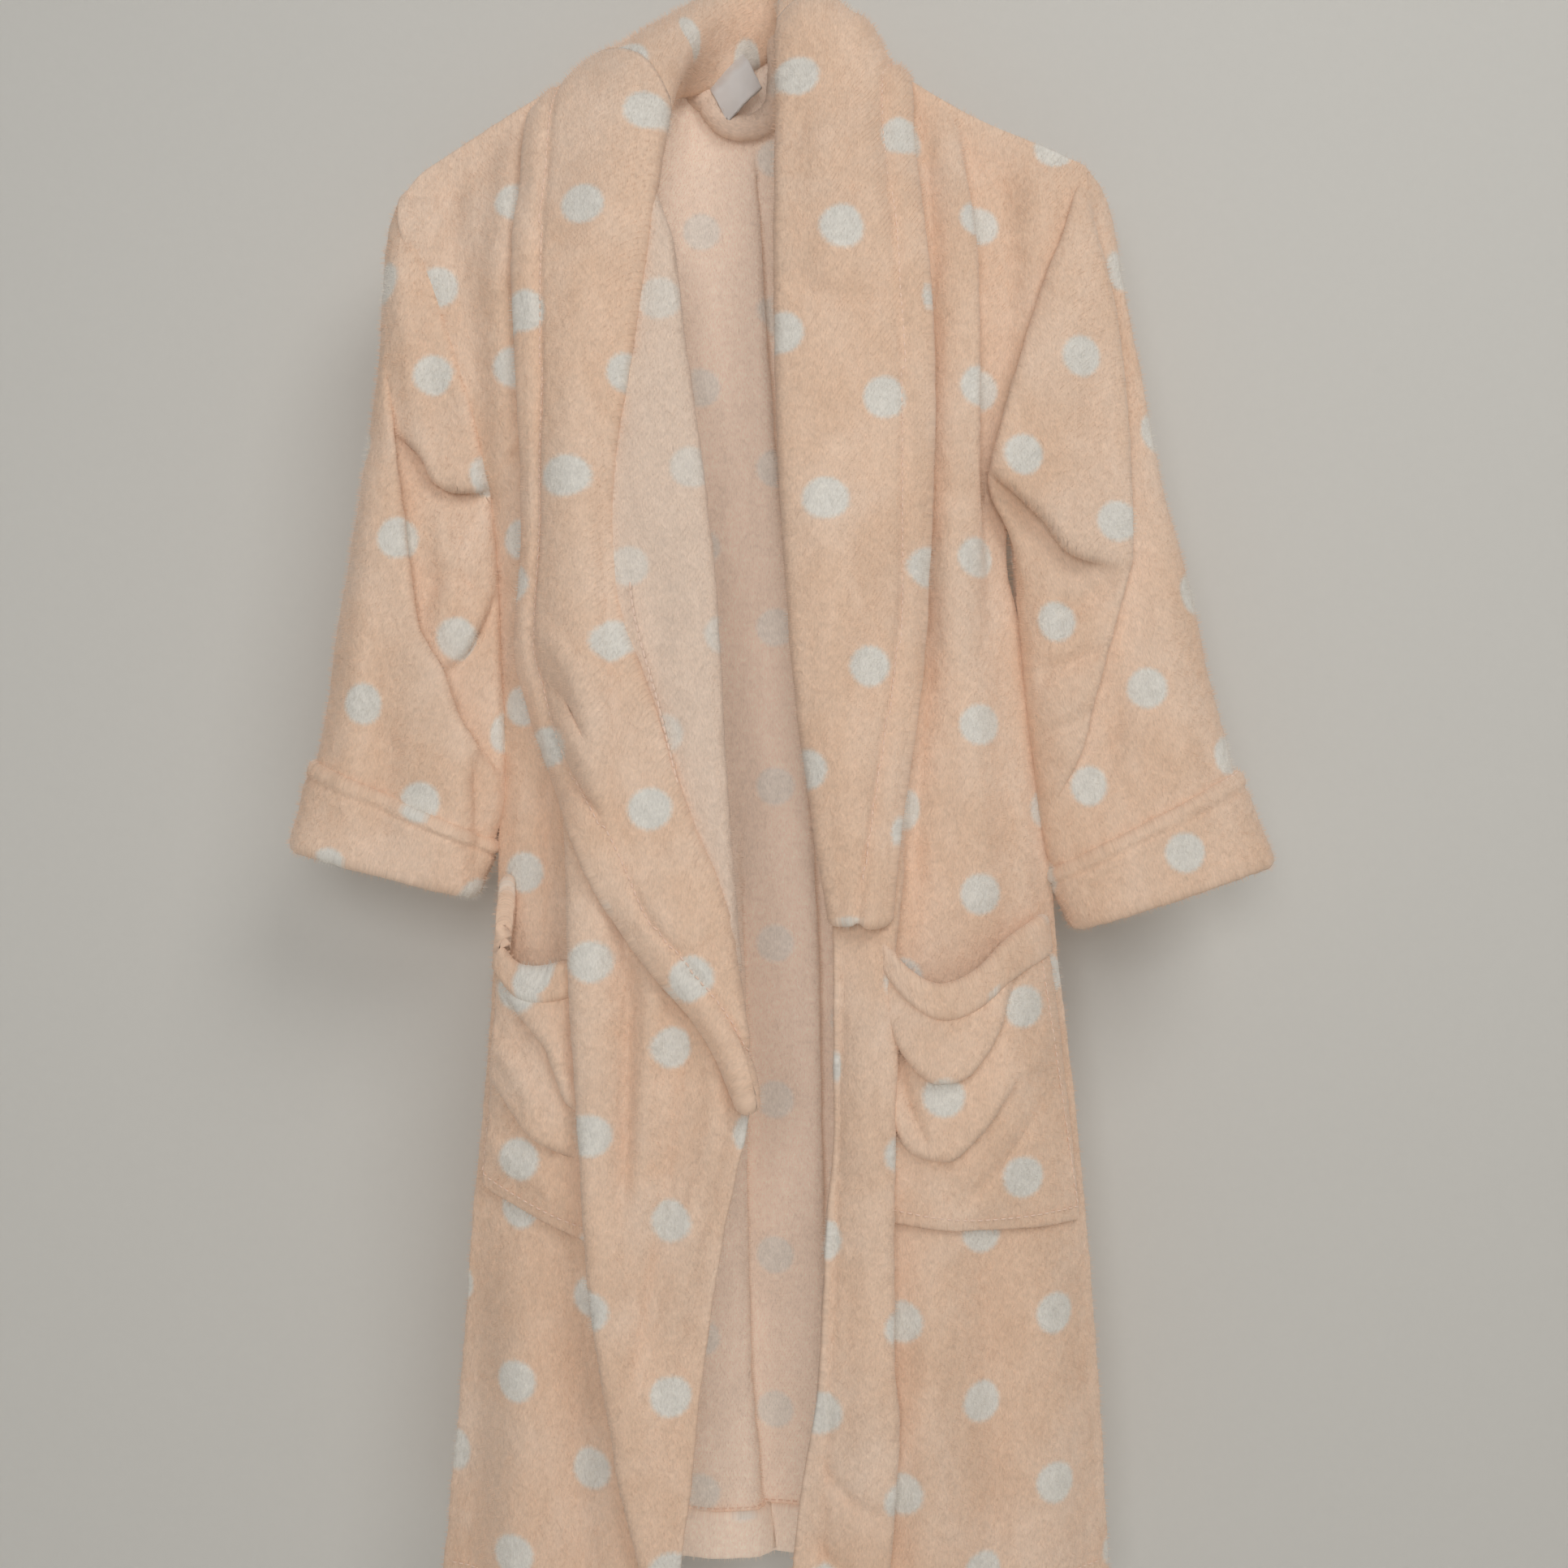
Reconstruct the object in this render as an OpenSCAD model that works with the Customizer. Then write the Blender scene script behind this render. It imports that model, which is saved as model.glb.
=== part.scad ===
// Plush shawl-collar bathrobe, modelled as it hangs from its shoulders.
// Millimetres. +Z is up, the robe's front faces -Y, and +X is the wearer's left.
// The origin is the centre of the hanging loop's opening, inside the back of the neck.

/* [Body] */
// Half width across the shoulder tips
shoulder_half = 231; // [220:1:245]
// Drop of the shoulder tips below the origin
shoulder_drop = 79; // [65:1:95]
// Half width at the armpits
armpit_half = 176; // [168:1:186]
// Drop of the armpits below the origin
armpit_drop = 288; // [270:1:300]
// Half width at the hem
hem_half = 221; // [205:1:240]
// Drop of the hem below the origin
hem_drop = 1020; // [960:5:1100]
// How far the lower part hangs towards the wearer's left
drift_left = 22; // [0:1:24]
// How far the back hangs out behind the side seams at the hem
back_depth = 82; // [70:1:95]
// How far the fronts hang out before the side seams at the hem
front_depth = 62; // [50:1:70]
// Height of the turned-up hem
hem_height = 28; // [20:1:36]

/* [Fabric] */
// Thickness of one layer of fleece with its pile
fabric = 5; // [4:0.5:6]
// Air left between two layers that lie on each other
gap = 1.5; // [1:0.25:2]
// Depth of the soft vertical folds at the hem
fold_depth = 7; // [0:1:9]
// How far the front opening sways from side to side
opening_sway = 32; // [0:1:34]
// Half width of the front opening at the armpits
opening_armpit = 56; // [48:1:60]
// Half width of the front opening at the hem
opening_hem = 38; // [30:1:44]

/* [Neck and collar] */
// Radius of the neck seam
neck_r = 72.5; // [70:0.5:76]
// Height of the neck seam at the shoulders
neck_z = 12; // [8:1:16]
// Height of the neck seam at the centre back
nape_z = -14; // [-18:1:-10]
// Height of the roll of the collar
collar_top = 50; // [46:1:56]
// How far down the collar turns behind the neck
collar_fall = -36; // [-44:1:-28]
// Widest part of a lapel
lapel_width = 86; // [76:1:92]
// Drop of the lower ends of the lapels
lapel_drop = 570; // [555:1:572]

/* [Sleeves] */
// Length of the outer edge of a sleeve from shoulder tip to cuff edge
sleeve_length = 470; // [440:1:480]
// Flat width of the sleeve at the cuff
cuff_width = 126; // [116:1:134]
// Height of the turned cuff
cuff_height = 54; // [46:1:60]
// Half depth of the sleeve, front to back
sleeve_half_depth = 33; // [28:1:36]
// Angle of the left sleeve from the vertical, in degrees
left_hang = 14.5; // [12:0.5:16]
// Angle of the right sleeve from the vertical, in degrees
right_hang = 10; // [8:0.5:14]

/* [Pockets] */
// Distance from the centre line to the inner edge of a pocket
pocket_inner = 76; // [70:1:84]
// Drop of the pocket mouths below the origin
pocket_drop = 578; // [570:1:600]
// Height of a pocket with its mouth band
pocket_height = 184; // [170:1:195]
// Height of the band along the mouth
pocket_band_height = 24; // [20:1:28]
// How far the middle of the mouth stands open
pocket_gape = 26; // [18:1:28]

/* [Loops and label] */
// Radius of the hanging loop's opening
loop_r = 16; // [15:0.5:18]
// Width of the folded strip that the hanging loop is made of
loop_strip = 17; // [15:1:18]
// Thickness of that strip
loop_thick = 8; // [6:0.5:9]
// How far the shoulder seams are in front of the hanging loop
shoulder_front = 46; // [40:1:47]
// Width of the care label
label_width = 28; // [24:1:30]
// Length of the folded care label
label_length = 56; // [48:1:60]
// Drop of the belt loops below the origin
belt_drop = 430; // [400:1:460]
// Height of a belt loop
belt_loop_height = 62; // [55:1:70]

/* [Hidden] */
LEFT = 1;
RIGHT = -1;
fleece = [0.93, 0.76, 0.65];
fleece_inside = [0.93, 0.82, 0.75];
thread = [0.98, 0.84, 0.76];
satin = [0.95, 0.94, 0.93];
shoulder_y = -shoulder_front;
collar_slope = 38;          // slope of the collar's outer edge up to the shoulder seams
seam_gap = 3;               // space left at a seam between two bodies that move apart
armhole_gap = 9;            // space left between a front and the sleeve beside it
side_inset = 12;            // the turned-up hems stop this far from the side seams
facing_width = 58;          // width of the strip that faces the front edge inside
facing_drop = 330;          // where that strip starts, below the lapel's roll
folds = 4;                  // vertical folds across one panel
cuff_share = 1 - cuff_height / sleeve_length;   // where the cuff starts along the sleeve
seam_share = 0.006;         // space left above the cuff, as a share of the sleeve's length
armhole_share = 0.016;      // space left at the armhole, likewise
stitch_share = 0.01;        // length of the row of thread above the cuff, likewise
under_curve = 8;            // how far the sleeve's inner edge curves outwards
stitch_width = 2;
stitch_height = 1;
stitch_lift = 0.4;          // space under a row of thread
edge_inset = 11;            // distance of the topstitching from an edge
belt_x = 158;               // distance of the belt loops from the centre line
belt_stand = 12;            // how far a belt loop stands off the back
belt_strip = 4;             // thickness of a belt loop's strip
belt_strip_width = 10;
label_layer = 0.6;          // thickness of the label's satin
label_space = 0.8;          // air between its two layers
hinge_z = loop_r + loop_strip + 1;      // seam that holds the hanging loop and the label

// ---- helpers -------------------------------------------------------------

function mix(a, b, t) = a + (b - a) * t;
function share(z, z0, z1) = max(0, min(1, (z - z0) / (z1 - z0)));
function ease(t) = let (c = max(0, min(1, t))) c * c * (3 - 2 * c);

// A closed sheet between skin(u, v) and the same skin moved by thick.
module patch(columns, rows, skin, thick) {
    count = (columns + 1) * (rows + 1);
    near = [for (j = [0 : rows], i = [0 : columns]) skin(i / columns, j / rows)];
    far = [for (p = near) p + thick];
    along_u = skin(0.6, 0.5) - skin(0.4, 0.5);
    along_v = skin(0.5, 0.6) - skin(0.5, 0.4);
    flip = cross(along_u, along_v) * thick < 0;
    at = function (i, j, layer) layer * count + j * (columns + 1) + i;
    quad = function (a, b, c, d) [[a, b, c], [a, c, d]];
    faces = [
        for (j = [0 : rows - 1], i = [0 : columns - 1], t = concat(
            quad(at(i, j, 0), at(i + 1, j, 0), at(i + 1, j + 1, 0), at(i, j + 1, 0)),
            quad(at(i, j, 1), at(i, j + 1, 1), at(i + 1, j + 1, 1), at(i + 1, j, 1)))) t,
        for (i = [0 : columns - 1], t = concat(
            quad(at(i, 0, 0), at(i, 0, 1), at(i + 1, 0, 1), at(i + 1, 0, 0)),
            quad(at(i, rows, 0), at(i + 1, rows, 0), at(i + 1, rows, 1), at(i, rows, 1)))) t,
        for (j = [0 : rows - 1], t = concat(
            quad(at(0, j, 0), at(0, j + 1, 0), at(0, j + 1, 1), at(0, j, 1)),
            quad(at(columns, j, 0), at(columns, j, 1), at(columns, j + 1, 1),
                 at(columns, j + 1, 0)))) t
    ];
    polyhedron(concat(near, far), [for (f = faces) flip ? [f[0], f[2], f[1]] : f]);
}

// An open tube between ring(v, angle, 0) and the ring drawn in by wall.
module tube(around, rows, ring, wall) {
    count = around * (rows + 1);
    skins = [for (inset = [0, wall], j = [0 : rows], i = [0 : around - 1])
        ring(j / rows, i * 360 / around, inset)];
    at = function (i, j, layer) layer * count + j * around + i % around;
    quad = function (a, b, c, d) [[a, b, c], [a, c, d]];
    faces = [
        for (j = [0 : rows - 1], i = [0 : around - 1], t = concat(
            quad(at(i, j, 0), at(i, j + 1, 0), at(i + 1, j + 1, 0), at(i + 1, j, 0)),
            quad(at(i, j, 1), at(i + 1, j, 1), at(i + 1, j + 1, 1), at(i, j + 1, 1)))) t,
        for (i = [0 : around - 1], t = concat(
            quad(at(i, 0, 0), at(i + 1, 0, 0), at(i + 1, 0, 1), at(i, 0, 1)),
            quad(at(i, rows, 0), at(i, rows, 1), at(i + 1, rows, 1), at(i + 1, rows, 0)))) t
    ];
    polyhedron(skins, faces);
}

// ---- shape of the hanging body -------------------------------------------

function drift(z) = drift_left * ease(share(z, -150, -650));
function half_width(z) = z > -armpit_drop
    ? mix(shoulder_half, armpit_half, pow(share(z, -shoulder_drop, -armpit_drop), 0.85))
    : mix(armpit_half, hem_half, share(z, -armpit_drop, -hem_drop));
function outer_x(z, side) = side * (half_width(z) - seam_gap) + drift(z);
// The fronts stop short of the side seams, and further short of the armholes
function front_side_x(z, side) = outer_x(z, side)
    - side * mix(armhole_gap, seam_gap, share(z, -armpit_drop, -hem_drop));
function opening(z) = z > -armpit_drop
    ? mix(neck_r, opening_armpit, ease(share(z, neck_z, -armpit_drop)))
    : mix(opening_armpit, opening_hem, share(z, -armpit_drop, -hem_drop));
function middle_x(z) = -opening_sway * sin(360 * share(z, collar_top, -hem_drop));
function edge_x(z, side) = side * opening(z) + middle_x(z);

// Height of the shoulder seam, and of the neck seam behind the neck
function shoulder_z(x) = mix(neck_z, -shoulder_drop,
    share(abs(x), neck_r, shoulder_half));
function top_z(x) = abs(x) < neck_r
    ? mix(nape_z, neck_z, pow(abs(x) / neck_r, 2)) : shoulder_z(x);

// Share of the way from the centre line to the side seam
function across(x, z) = min(1, abs(x - drift(z)) / half_width(z));
function ripple(x, z) = fold_depth * share(z, -armpit_drop, -hem_drop)
    * cos(360 * folds * across(x, z)) * (1 - across(x, z));
function fullness(z) = mix(0.6, 1, share(z, -armpit_drop, -hem_drop));

function neck_arc(x) = abs(x) < neck_r ? sqrt(neck_r * neck_r - x * x) : 0;
function back_y(x, z) = shoulder_y + seam_gap / 2 + mix(neck_arc(x),
    back_depth * fullness(z) * (1 - pow(across(x, z), 3)) + ripple(x, z),
    ease((top_z(x) - z) / 170));
function front_y(x, z) = shoulder_y - seam_gap / 2 - ease((shoulder_z(x) - z) / 140)
    * (front_depth * fullness(z) * (1 - pow(across(x, z), 3)) + ripple(x, z));

// ---- body panels ----------------------------------------------------------

module back_panel() {
    color(fleece)
    patch(30, 26, function (u, v) let (
        x_top = mix(-shoulder_half + seam_gap, shoulder_half - seam_gap, u),
        z = mix(top_z(x_top), -hem_drop, v),
        x = v == 0 ? x_top : mix(outer_x(z, RIGHT), outer_x(z, LEFT), u))
        [x, back_y(x, z), z], [0, fabric, 0]);
}

module front_panel(side) {
    color(fleece)
    patch(14, 26, function (u, v) let (
        x_top = mix(neck_r, shoulder_half - seam_gap - armhole_gap, u),
        z = mix(shoulder_z(x_top) - gap, -hem_drop, v),
        x = mix(edge_x(z, side), front_side_x(z, side), u))
        [x, front_y(x, z), z], [0, -fabric, 0]);
}

// Strip of the front between two distances from the front edge, lifted off the
// fabric: outside for lift < 0, inside for lift > 0.
module front_strip(side, u0, u1, z0, z1, lift, thick, rows = 12) {
    patch(6, rows, function (u, v) let (
        z = mix(z0, z1, v), x = edge_x(z, side) + side * mix(u0, u1, u))
        [x, front_y(x, z) + lift, z], [0, thick, 0]);
}

module front_facing(side) {
    color(fleece_inside)
    front_strip(side, 0, facing_width, -facing_drop, gap + hem_height - hem_drop,
                gap, fabric);
}

module facing_stitch(side) {
    color(thread)
    front_strip(side, facing_width + gap, facing_width + gap + stitch_width,
                -facing_drop, gap + hem_height - hem_drop, gap, stitch_height);
}

// Turned-up hem and its row of thread, across a whole panel
module hem_strip(x0, x1, panel_y, z0, z1, lift, thick, columns = 16) {
    patch(columns, 2, function (u, v) let (
        z = mix(z0, z1, v), x = mix(x0(z), x1(z), u))
        [x, panel_y(x, z) + lift, z], [0, thick, 0]);
}

module back_hem() {
    color(fleece_inside)
    hem_strip(function (z) outer_x(z, RIGHT) + side_inset,
              function (z) outer_x(z, LEFT) - side_inset,
              function (x, z) back_y(x, z), hem_height - hem_drop, -hem_drop,
              -gap, -fabric, 30);
}

module back_hem_stitch() {
    color(thread)
    hem_strip(function (z) outer_x(z, RIGHT), function (z) outer_x(z, LEFT),
              function (x, z) back_y(x, z), hem_height - hem_drop + stitch_width,
              hem_height - hem_drop, fabric + stitch_lift, stitch_height, 30);
}

module front_hem(side) {
    color(fleece_inside)
    hem_strip(function (z) edge_x(z, side),
              function (z) front_side_x(z, side) - side * side_inset,
              function (x, z) front_y(x, z), hem_height - hem_drop, -hem_drop,
              1.3 * gap, fabric * 0.8);
}

module front_hem_stitch(side) {
    color(thread)
    hem_strip(function (z) edge_x(z, side), function (z) front_side_x(z, side),
              function (x, z) front_y(x, z), hem_height - hem_drop + stitch_width,
              hem_height - hem_drop, -fabric - 3 * stitch_lift, -stitch_height, 14);
}

// ---- collar ----------------------------------------------------------------

// The collar stands up inside the neck seam, rolls over and falls outside it.
module neck_collar() {
    stand = neck_r - fabric / 2 - gap - fabric * 0.6;
    fall = neck_r + fabric * 1.5 + gap + fabric;
    roll = (fall - stand) / 2;
    middle = (fall + stand) / 2;
    color(fleece)
    translate([0, shoulder_y, 0])
    difference() {
        rotate_extrude(angle = 180, $fn = 72)
        difference() {
            union() {
                translate([stand, collar_fall / 3])
                square([2 * roll, collar_top - roll - collar_fall / 3]);
                translate([middle, collar_top - roll])
                circle(r = roll, $fn = 40);
                translate([fall - fabric, collar_fall])
                square([fabric, collar_top - roll - collar_fall]);
            }
            translate([stand + fabric, collar_fall - fabric])
            square([2 * (roll - fabric), collar_top - roll - collar_fall + fabric]);
            translate([middle, collar_top - roll])
            circle(r = roll - fabric, $fn = 40);
        }
        // towards the shoulder seams the edge rises clear of the shoulders
        translate([0, 0, neck_z])
        rotate([-collar_slope, 0, 0])
        translate([-2 * neck_r, -neck_r, -2 * neck_r])
        cube([4 * neck_r, 3 * neck_r, 2 * neck_r]);
    }
}

function lapel_reach(z) = z > -100
    ? mix(26, lapel_width, ease(share(z, collar_top, -100)))
    : mix(lapel_width, 36, ease(share(z, -armpit_drop, -lapel_drop)));

module lapel(side) {
    lift = -fabric - 1.5 * gap;
    color(fleece)
    patch(8, 22, function (u, v) let (
        z = mix(collar_top - gap, -lapel_drop, v),
        x = edge_x(z, side) + side * (lapel_reach(z) * u - 8 * ease(share(z, neck_z, collar_top))))
        [x, front_y(x, z) + lift, z], [0, -2 * fabric, 0]);
}

module lapel_stitch(side) {
    lift = -fabric - 1.5 * gap - 2 * fabric - stitch_lift;
    color(thread)
    patch(1, 22, function (u, v) let (
        z = mix(-20, -lapel_drop + edge_inset, v),
        x = edge_x(z, side) + side * (lapel_reach(z) - edge_inset + stitch_width * u))
        [x, front_y(x, z) + lift, z], [0, -stitch_height, 0]);
}

// ---- sleeves, drawn for the left side --------------------------------------

// The outer edge of the sleeve leaves the shoulder tip, the inner edge the armpit.
function cuff_outer(hang_angle) = [shoulder_half + sleeve_length * sin(hang_angle),
    -shoulder_drop - sleeve_length * cos(hang_angle)];
function cuff_inner(hang_angle) = cuff_outer(hang_angle)
    - cuff_width * [cos(hang_angle), sin(hang_angle)];
function sleeve_out(v, hang_angle) =
    mix([shoulder_half, -shoulder_drop], cuff_outer(hang_angle), v);
function sleeve_in(v, hang_angle, side) =
    mix([armpit_half + side * drift(-armpit_drop), -armpit_drop], cuff_inner(hang_angle), v)
    + [under_curve * sin(180 * v), 0];

// One point of the sleeve's cross-section, a flattened oval between the two edges
function sleeve_ring(v, angle, inset, hang_angle, side, v0, v1) = let (
    w = mix(v0, v1, v),
    a = sleeve_in(w, hang_angle, side),
    b = sleeve_out(w, hang_angle),
    centre = (a + b) / 2,
    half = (b - a) / 2,
    shrink = 1 - inset / norm(half),
    depth = sleeve_half_depth * mix(0.75, 1, ease(w * 2)) - inset)
    [centre.x + half.x * shrink * cos(angle), shoulder_y + depth * sin(angle),
     centre.y + half.y * shrink * cos(angle)];

module sleeve_part(side, v0, v1, outset, wall, rows) {
    hang_angle = side == LEFT ? left_hang : right_hang;
    mirror([side == LEFT ? 0 : 1, 0, 0])
    tube(36, rows, function (v, angle, inset)
        sleeve_ring(v, angle, inset - outset, hang_angle, side, v0, v1), wall);
}

module sleeve(side) {
    color(fleece)
    sleeve_part(side, armhole_share, cuff_share - seam_share, 0, fabric, 12);
}

module cuff(side) {
    outset = 2;
    color(fleece)
    sleeve_part(side, cuff_share, 1, outset, 2 * fabric - outset, 3);
}

module cuff_stitch(side) {
    color(thread)
    sleeve_part(side, cuff_share - stitch_share - seam_share, cuff_share - seam_share,
                stitch_lift + stitch_height, stitch_height, 1);
}

// ---- pockets ---------------------------------------------------------------

function pocket_x(u, z, side) = mix(side * pocket_inner + drift(z),
    front_side_x(z, side) - side * side_inset / 2, u);
function pocket_lift(u, z) = let (down = share(z, -pocket_drop, -pocket_drop - pocket_height))
    -fabric - gap - pocket_gape * sin(180 * u) * (1 - down * down);

module pocket_strip(side, u0, u1, z0, z1, lift, thick, columns, rows) {
    patch(columns, rows, function (u, v) let (
        z = mix(z0, z1, v), across_pocket = mix(u0, u1, u), x = pocket_x(across_pocket, z, side))
        [x, front_y(x, z) + pocket_lift(across_pocket, z) + lift, z], [0, thick, 0]);
}

pocket_bottom = -pocket_drop - pocket_height;

module pocket(side) {
    color(fleece)
    pocket_strip(side, 0, 1, -pocket_drop - pocket_band_height - gap, pocket_bottom,
                 0, -fabric, 12, 10);
}

module pocket_band(side) {
    color(fleece)
    pocket_strip(side, 0, 1, -pocket_drop, -pocket_drop - pocket_band_height,
                 0, -2 * fabric, 12, 3);
}

module pocket_stitch(side) {
    pocket_width = half_width(-pocket_drop) - pocket_inner;
    inset = edge_inset / pocket_width;
    wide = stitch_width / pocket_width;
    top = -pocket_drop - pocket_band_height - 2 * gap;
    lift = -fabric - stitch_lift;
    color(thread) {
        pocket_strip(side, inset, inset + wide, top, pocket_bottom + edge_inset,
                     lift, -stitch_height, 1, 8);
        pocket_strip(side, 1 - inset - wide, 1 - inset, top, pocket_bottom + edge_inset,
                     lift, -stitch_height, 1, 8);
        pocket_strip(side, inset, 1 - inset, pocket_bottom + edge_inset - gap,
                     pocket_bottom + edge_inset - gap - stitch_width,
                     lift, -stitch_height, 10, 1);
    }
}

// ---- loops and label --------------------------------------------------------

// A ring of folded fleece: its opening is the round hole that a peg goes through.
module hanging_loop() {
    half = loop_thick / 2;
    round_by = 2.5;
    outside = loop_r + loop_strip;
    color(fleece)
    rotate([90, 0, 0])
    rotate_extrude($fn = 96)
    polygon([
        [loop_r, -half], [outside - round_by, -half], [outside, -half + round_by],
        [outside, half - round_by], [outside - round_by, half], [loop_r, half]
    ]);
}

// A satin strip folded once, with its two ends caught in the seam at the top.
module care_label() {
    depth = 2 * label_layer + label_space;
    color(satin)
    translate([-label_width / 2, -loop_thick / 2 - gap - depth, hinge_z - label_length])
    difference() {
        cube([label_width, depth, label_length]);
        translate([-1, label_layer, label_layer])
        cube([label_width + 2, label_space, label_length]);
    }
}

// A strip sewn down at its two ends, so that a belt passes between it and the robe.
module belt_loop(side) {
    x = side * belt_x + drift(-belt_drop);
    base = back_y(x, -belt_drop) + fabric + 5 * gap;
    color(fleece)
    translate([x - belt_strip_width / 2, base, -belt_drop - belt_loop_height / 2])
    difference() {
        cube([belt_strip_width, belt_stand, belt_loop_height]);
        translate([-1, -1, belt_strip])
        cube([belt_strip_width + 2, belt_stand - belt_strip + 1,
              belt_loop_height - 2 * belt_strip]);
    }
}

// ---- assembly ---------------------------------------------------------------

back_panel();
front_panel(LEFT);  // left_front_panel
front_panel(RIGHT);  // right_front_panel
sleeve(LEFT);  // left_sleeve
sleeve(RIGHT);  // right_sleeve
cuff(LEFT);  // left_cuff
cuff(RIGHT);  // right_cuff
neck_collar();
lapel(LEFT);  // left_lapel
lapel(RIGHT);  // right_lapel
front_facing(LEFT);  // left_front_facing
front_facing(RIGHT);  // right_front_facing
back_hem();
front_hem(LEFT);  // left_front_hem
front_hem(RIGHT);  // right_front_hem
pocket(LEFT);  // left_pocket
pocket(RIGHT);  // right_pocket
pocket_band(LEFT);  // left_pocket_band
pocket_band(RIGHT);  // right_pocket_band
hanging_loop();
care_label();
belt_loop(LEFT);  // left_belt_loop
belt_loop(RIGHT);  // right_belt_loop
cuff_stitch(LEFT);  // left_cuff_stitch
cuff_stitch(RIGHT);  // right_cuff_stitch
lapel_stitch(LEFT);  // left_lapel_stitch
lapel_stitch(RIGHT);  // right_lapel_stitch
pocket_stitch(LEFT);  // left_pocket_stitch
pocket_stitch(RIGHT);  // right_pocket_stitch
facing_stitch(LEFT);  // left_facing_stitch
facing_stitch(RIGHT);  // right_facing_stitch
back_hem_stitch();
front_hem_stitch(LEFT);  // left_hem_stitch
front_hem_stitch(RIGHT);  // right_hem_stitch
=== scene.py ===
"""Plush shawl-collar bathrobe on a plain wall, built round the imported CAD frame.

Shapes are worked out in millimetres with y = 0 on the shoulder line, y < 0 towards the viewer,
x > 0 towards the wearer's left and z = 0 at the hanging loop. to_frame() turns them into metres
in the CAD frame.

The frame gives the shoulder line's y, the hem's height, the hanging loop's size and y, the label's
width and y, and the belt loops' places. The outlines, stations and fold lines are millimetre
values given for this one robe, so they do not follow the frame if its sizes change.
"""
import math

import bmesh
import bpy
import numpy as np
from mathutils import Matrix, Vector, noise


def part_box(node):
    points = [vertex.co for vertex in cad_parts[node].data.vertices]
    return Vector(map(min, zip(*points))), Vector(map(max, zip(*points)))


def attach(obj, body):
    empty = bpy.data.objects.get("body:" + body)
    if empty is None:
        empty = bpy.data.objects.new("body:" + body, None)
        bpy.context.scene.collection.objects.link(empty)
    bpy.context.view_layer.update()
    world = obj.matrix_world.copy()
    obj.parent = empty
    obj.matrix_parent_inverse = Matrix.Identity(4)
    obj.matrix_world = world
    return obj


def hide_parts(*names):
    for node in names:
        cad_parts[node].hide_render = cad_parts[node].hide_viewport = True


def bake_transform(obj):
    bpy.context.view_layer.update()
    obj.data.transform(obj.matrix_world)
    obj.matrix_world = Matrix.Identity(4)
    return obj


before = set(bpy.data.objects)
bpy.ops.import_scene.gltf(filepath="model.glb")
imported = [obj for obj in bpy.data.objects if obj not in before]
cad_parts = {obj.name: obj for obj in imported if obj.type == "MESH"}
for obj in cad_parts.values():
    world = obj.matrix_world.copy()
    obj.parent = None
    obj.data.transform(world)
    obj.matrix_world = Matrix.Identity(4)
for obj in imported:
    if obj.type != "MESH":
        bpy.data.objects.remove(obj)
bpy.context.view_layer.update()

LEFT, RIGHT = 1, -1
SIDE_NAME = {LEFT: "left", RIGHT: "right"}
LAYER = 5.0          # thickness of one layer of fleece
DOUBLE = 11.0        # thickness of a turned or double layer

sleeve_low, sleeve_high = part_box("left_sleeve")
SHOULDER_Y = (sleeve_low[1] + sleeve_high[1]) / 2       # metres, in the frame
HEM_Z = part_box("back_panel")[0][2] * 1000
LOOP_LOW, LOOP_HIGH = (np.array(c) * 1000 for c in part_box("hanging_loop"))


# ---- small helpers ---------------------------------------------------------------------------

def mix(a, b, t):
    return a + (b - a) * t


def share(value, start, end):
    return np.clip((value - start) / (end - start), 0.0, 1.0)


def ease(t):
    t = np.clip(t, 0.0, 1.0)
    return t * t * (3 - 2 * t)


def bell(value, centre, width):
    return np.exp(-((value - centre) / width) ** 2)


def spread(rows, cols):
    """Shares from 0 to 1 down a sheet's rows and across its columns."""
    return np.linspace(0, 1, rows)[:, None], np.linspace(0, 1, cols)[None, :]


def curve(*points):
    """A smooth function of z through (z, value) points that are listed downwards, with no overshoot."""
    depth = np.array([-p[0] for p in points], float)
    value = np.array([p[1] for p in points], float)
    step = np.diff(depth)
    slope = np.diff(value) / step
    tangent = np.empty(len(value))
    tangent[0], tangent[-1] = slope[0], slope[-1]
    for i in range(1, len(slope)):
        before, after = slope[i - 1], slope[i]
        tangent[i] = 2 * before * after / (before + after) if before * after > 0 else 0.0

    def at(z):
        q = np.clip(-np.asarray(z, float), depth[0], depth[-1])
        i = np.clip(np.searchsorted(depth, q) - 1, 0, len(step) - 1)
        t = (q - depth[i]) / step[i]
        h = step[i]
        return (value[i] * (1 + 2 * t) * (1 - t) ** 2 + tangent[i] * h * t * (1 - t) ** 2
                + value[i + 1] * t * t * (3 - 2 * t) + tangent[i + 1] * h * t * t * (t - 1))
    return at


def through(points, count):
    """count points spread along a smooth line through 3-D points (rows), even in length."""
    p = np.asarray(points, float)
    ends = np.vstack([2 * p[0] - p[1], p, 2 * p[-1] - p[-2]])
    fine = []
    for i in range(len(p) - 1):
        a, b, c, d = ends[i:i + 4]
        t = np.linspace(0, 1, 24, endpoint=False)[:, None]
        fine.append(0.5 * (2 * b + (c - a) * t + (2 * a - 5 * b + 4 * c - d) * t ** 2
                           + (3 * b - a - 3 * c + d) * t ** 3))
    fine = np.vstack(fine + [p[-1:]])
    return evenly(fine, count)


def evenly(points, count):
    """The same line cut into count points at even distances."""
    length = np.concatenate([[0], np.cumsum(np.linalg.norm(np.diff(points, axis=0), axis=1))])
    at = np.linspace(0, length[-1], count)
    return np.column_stack([np.interp(at, length, points[:, k]) for k in range(3)])


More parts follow.
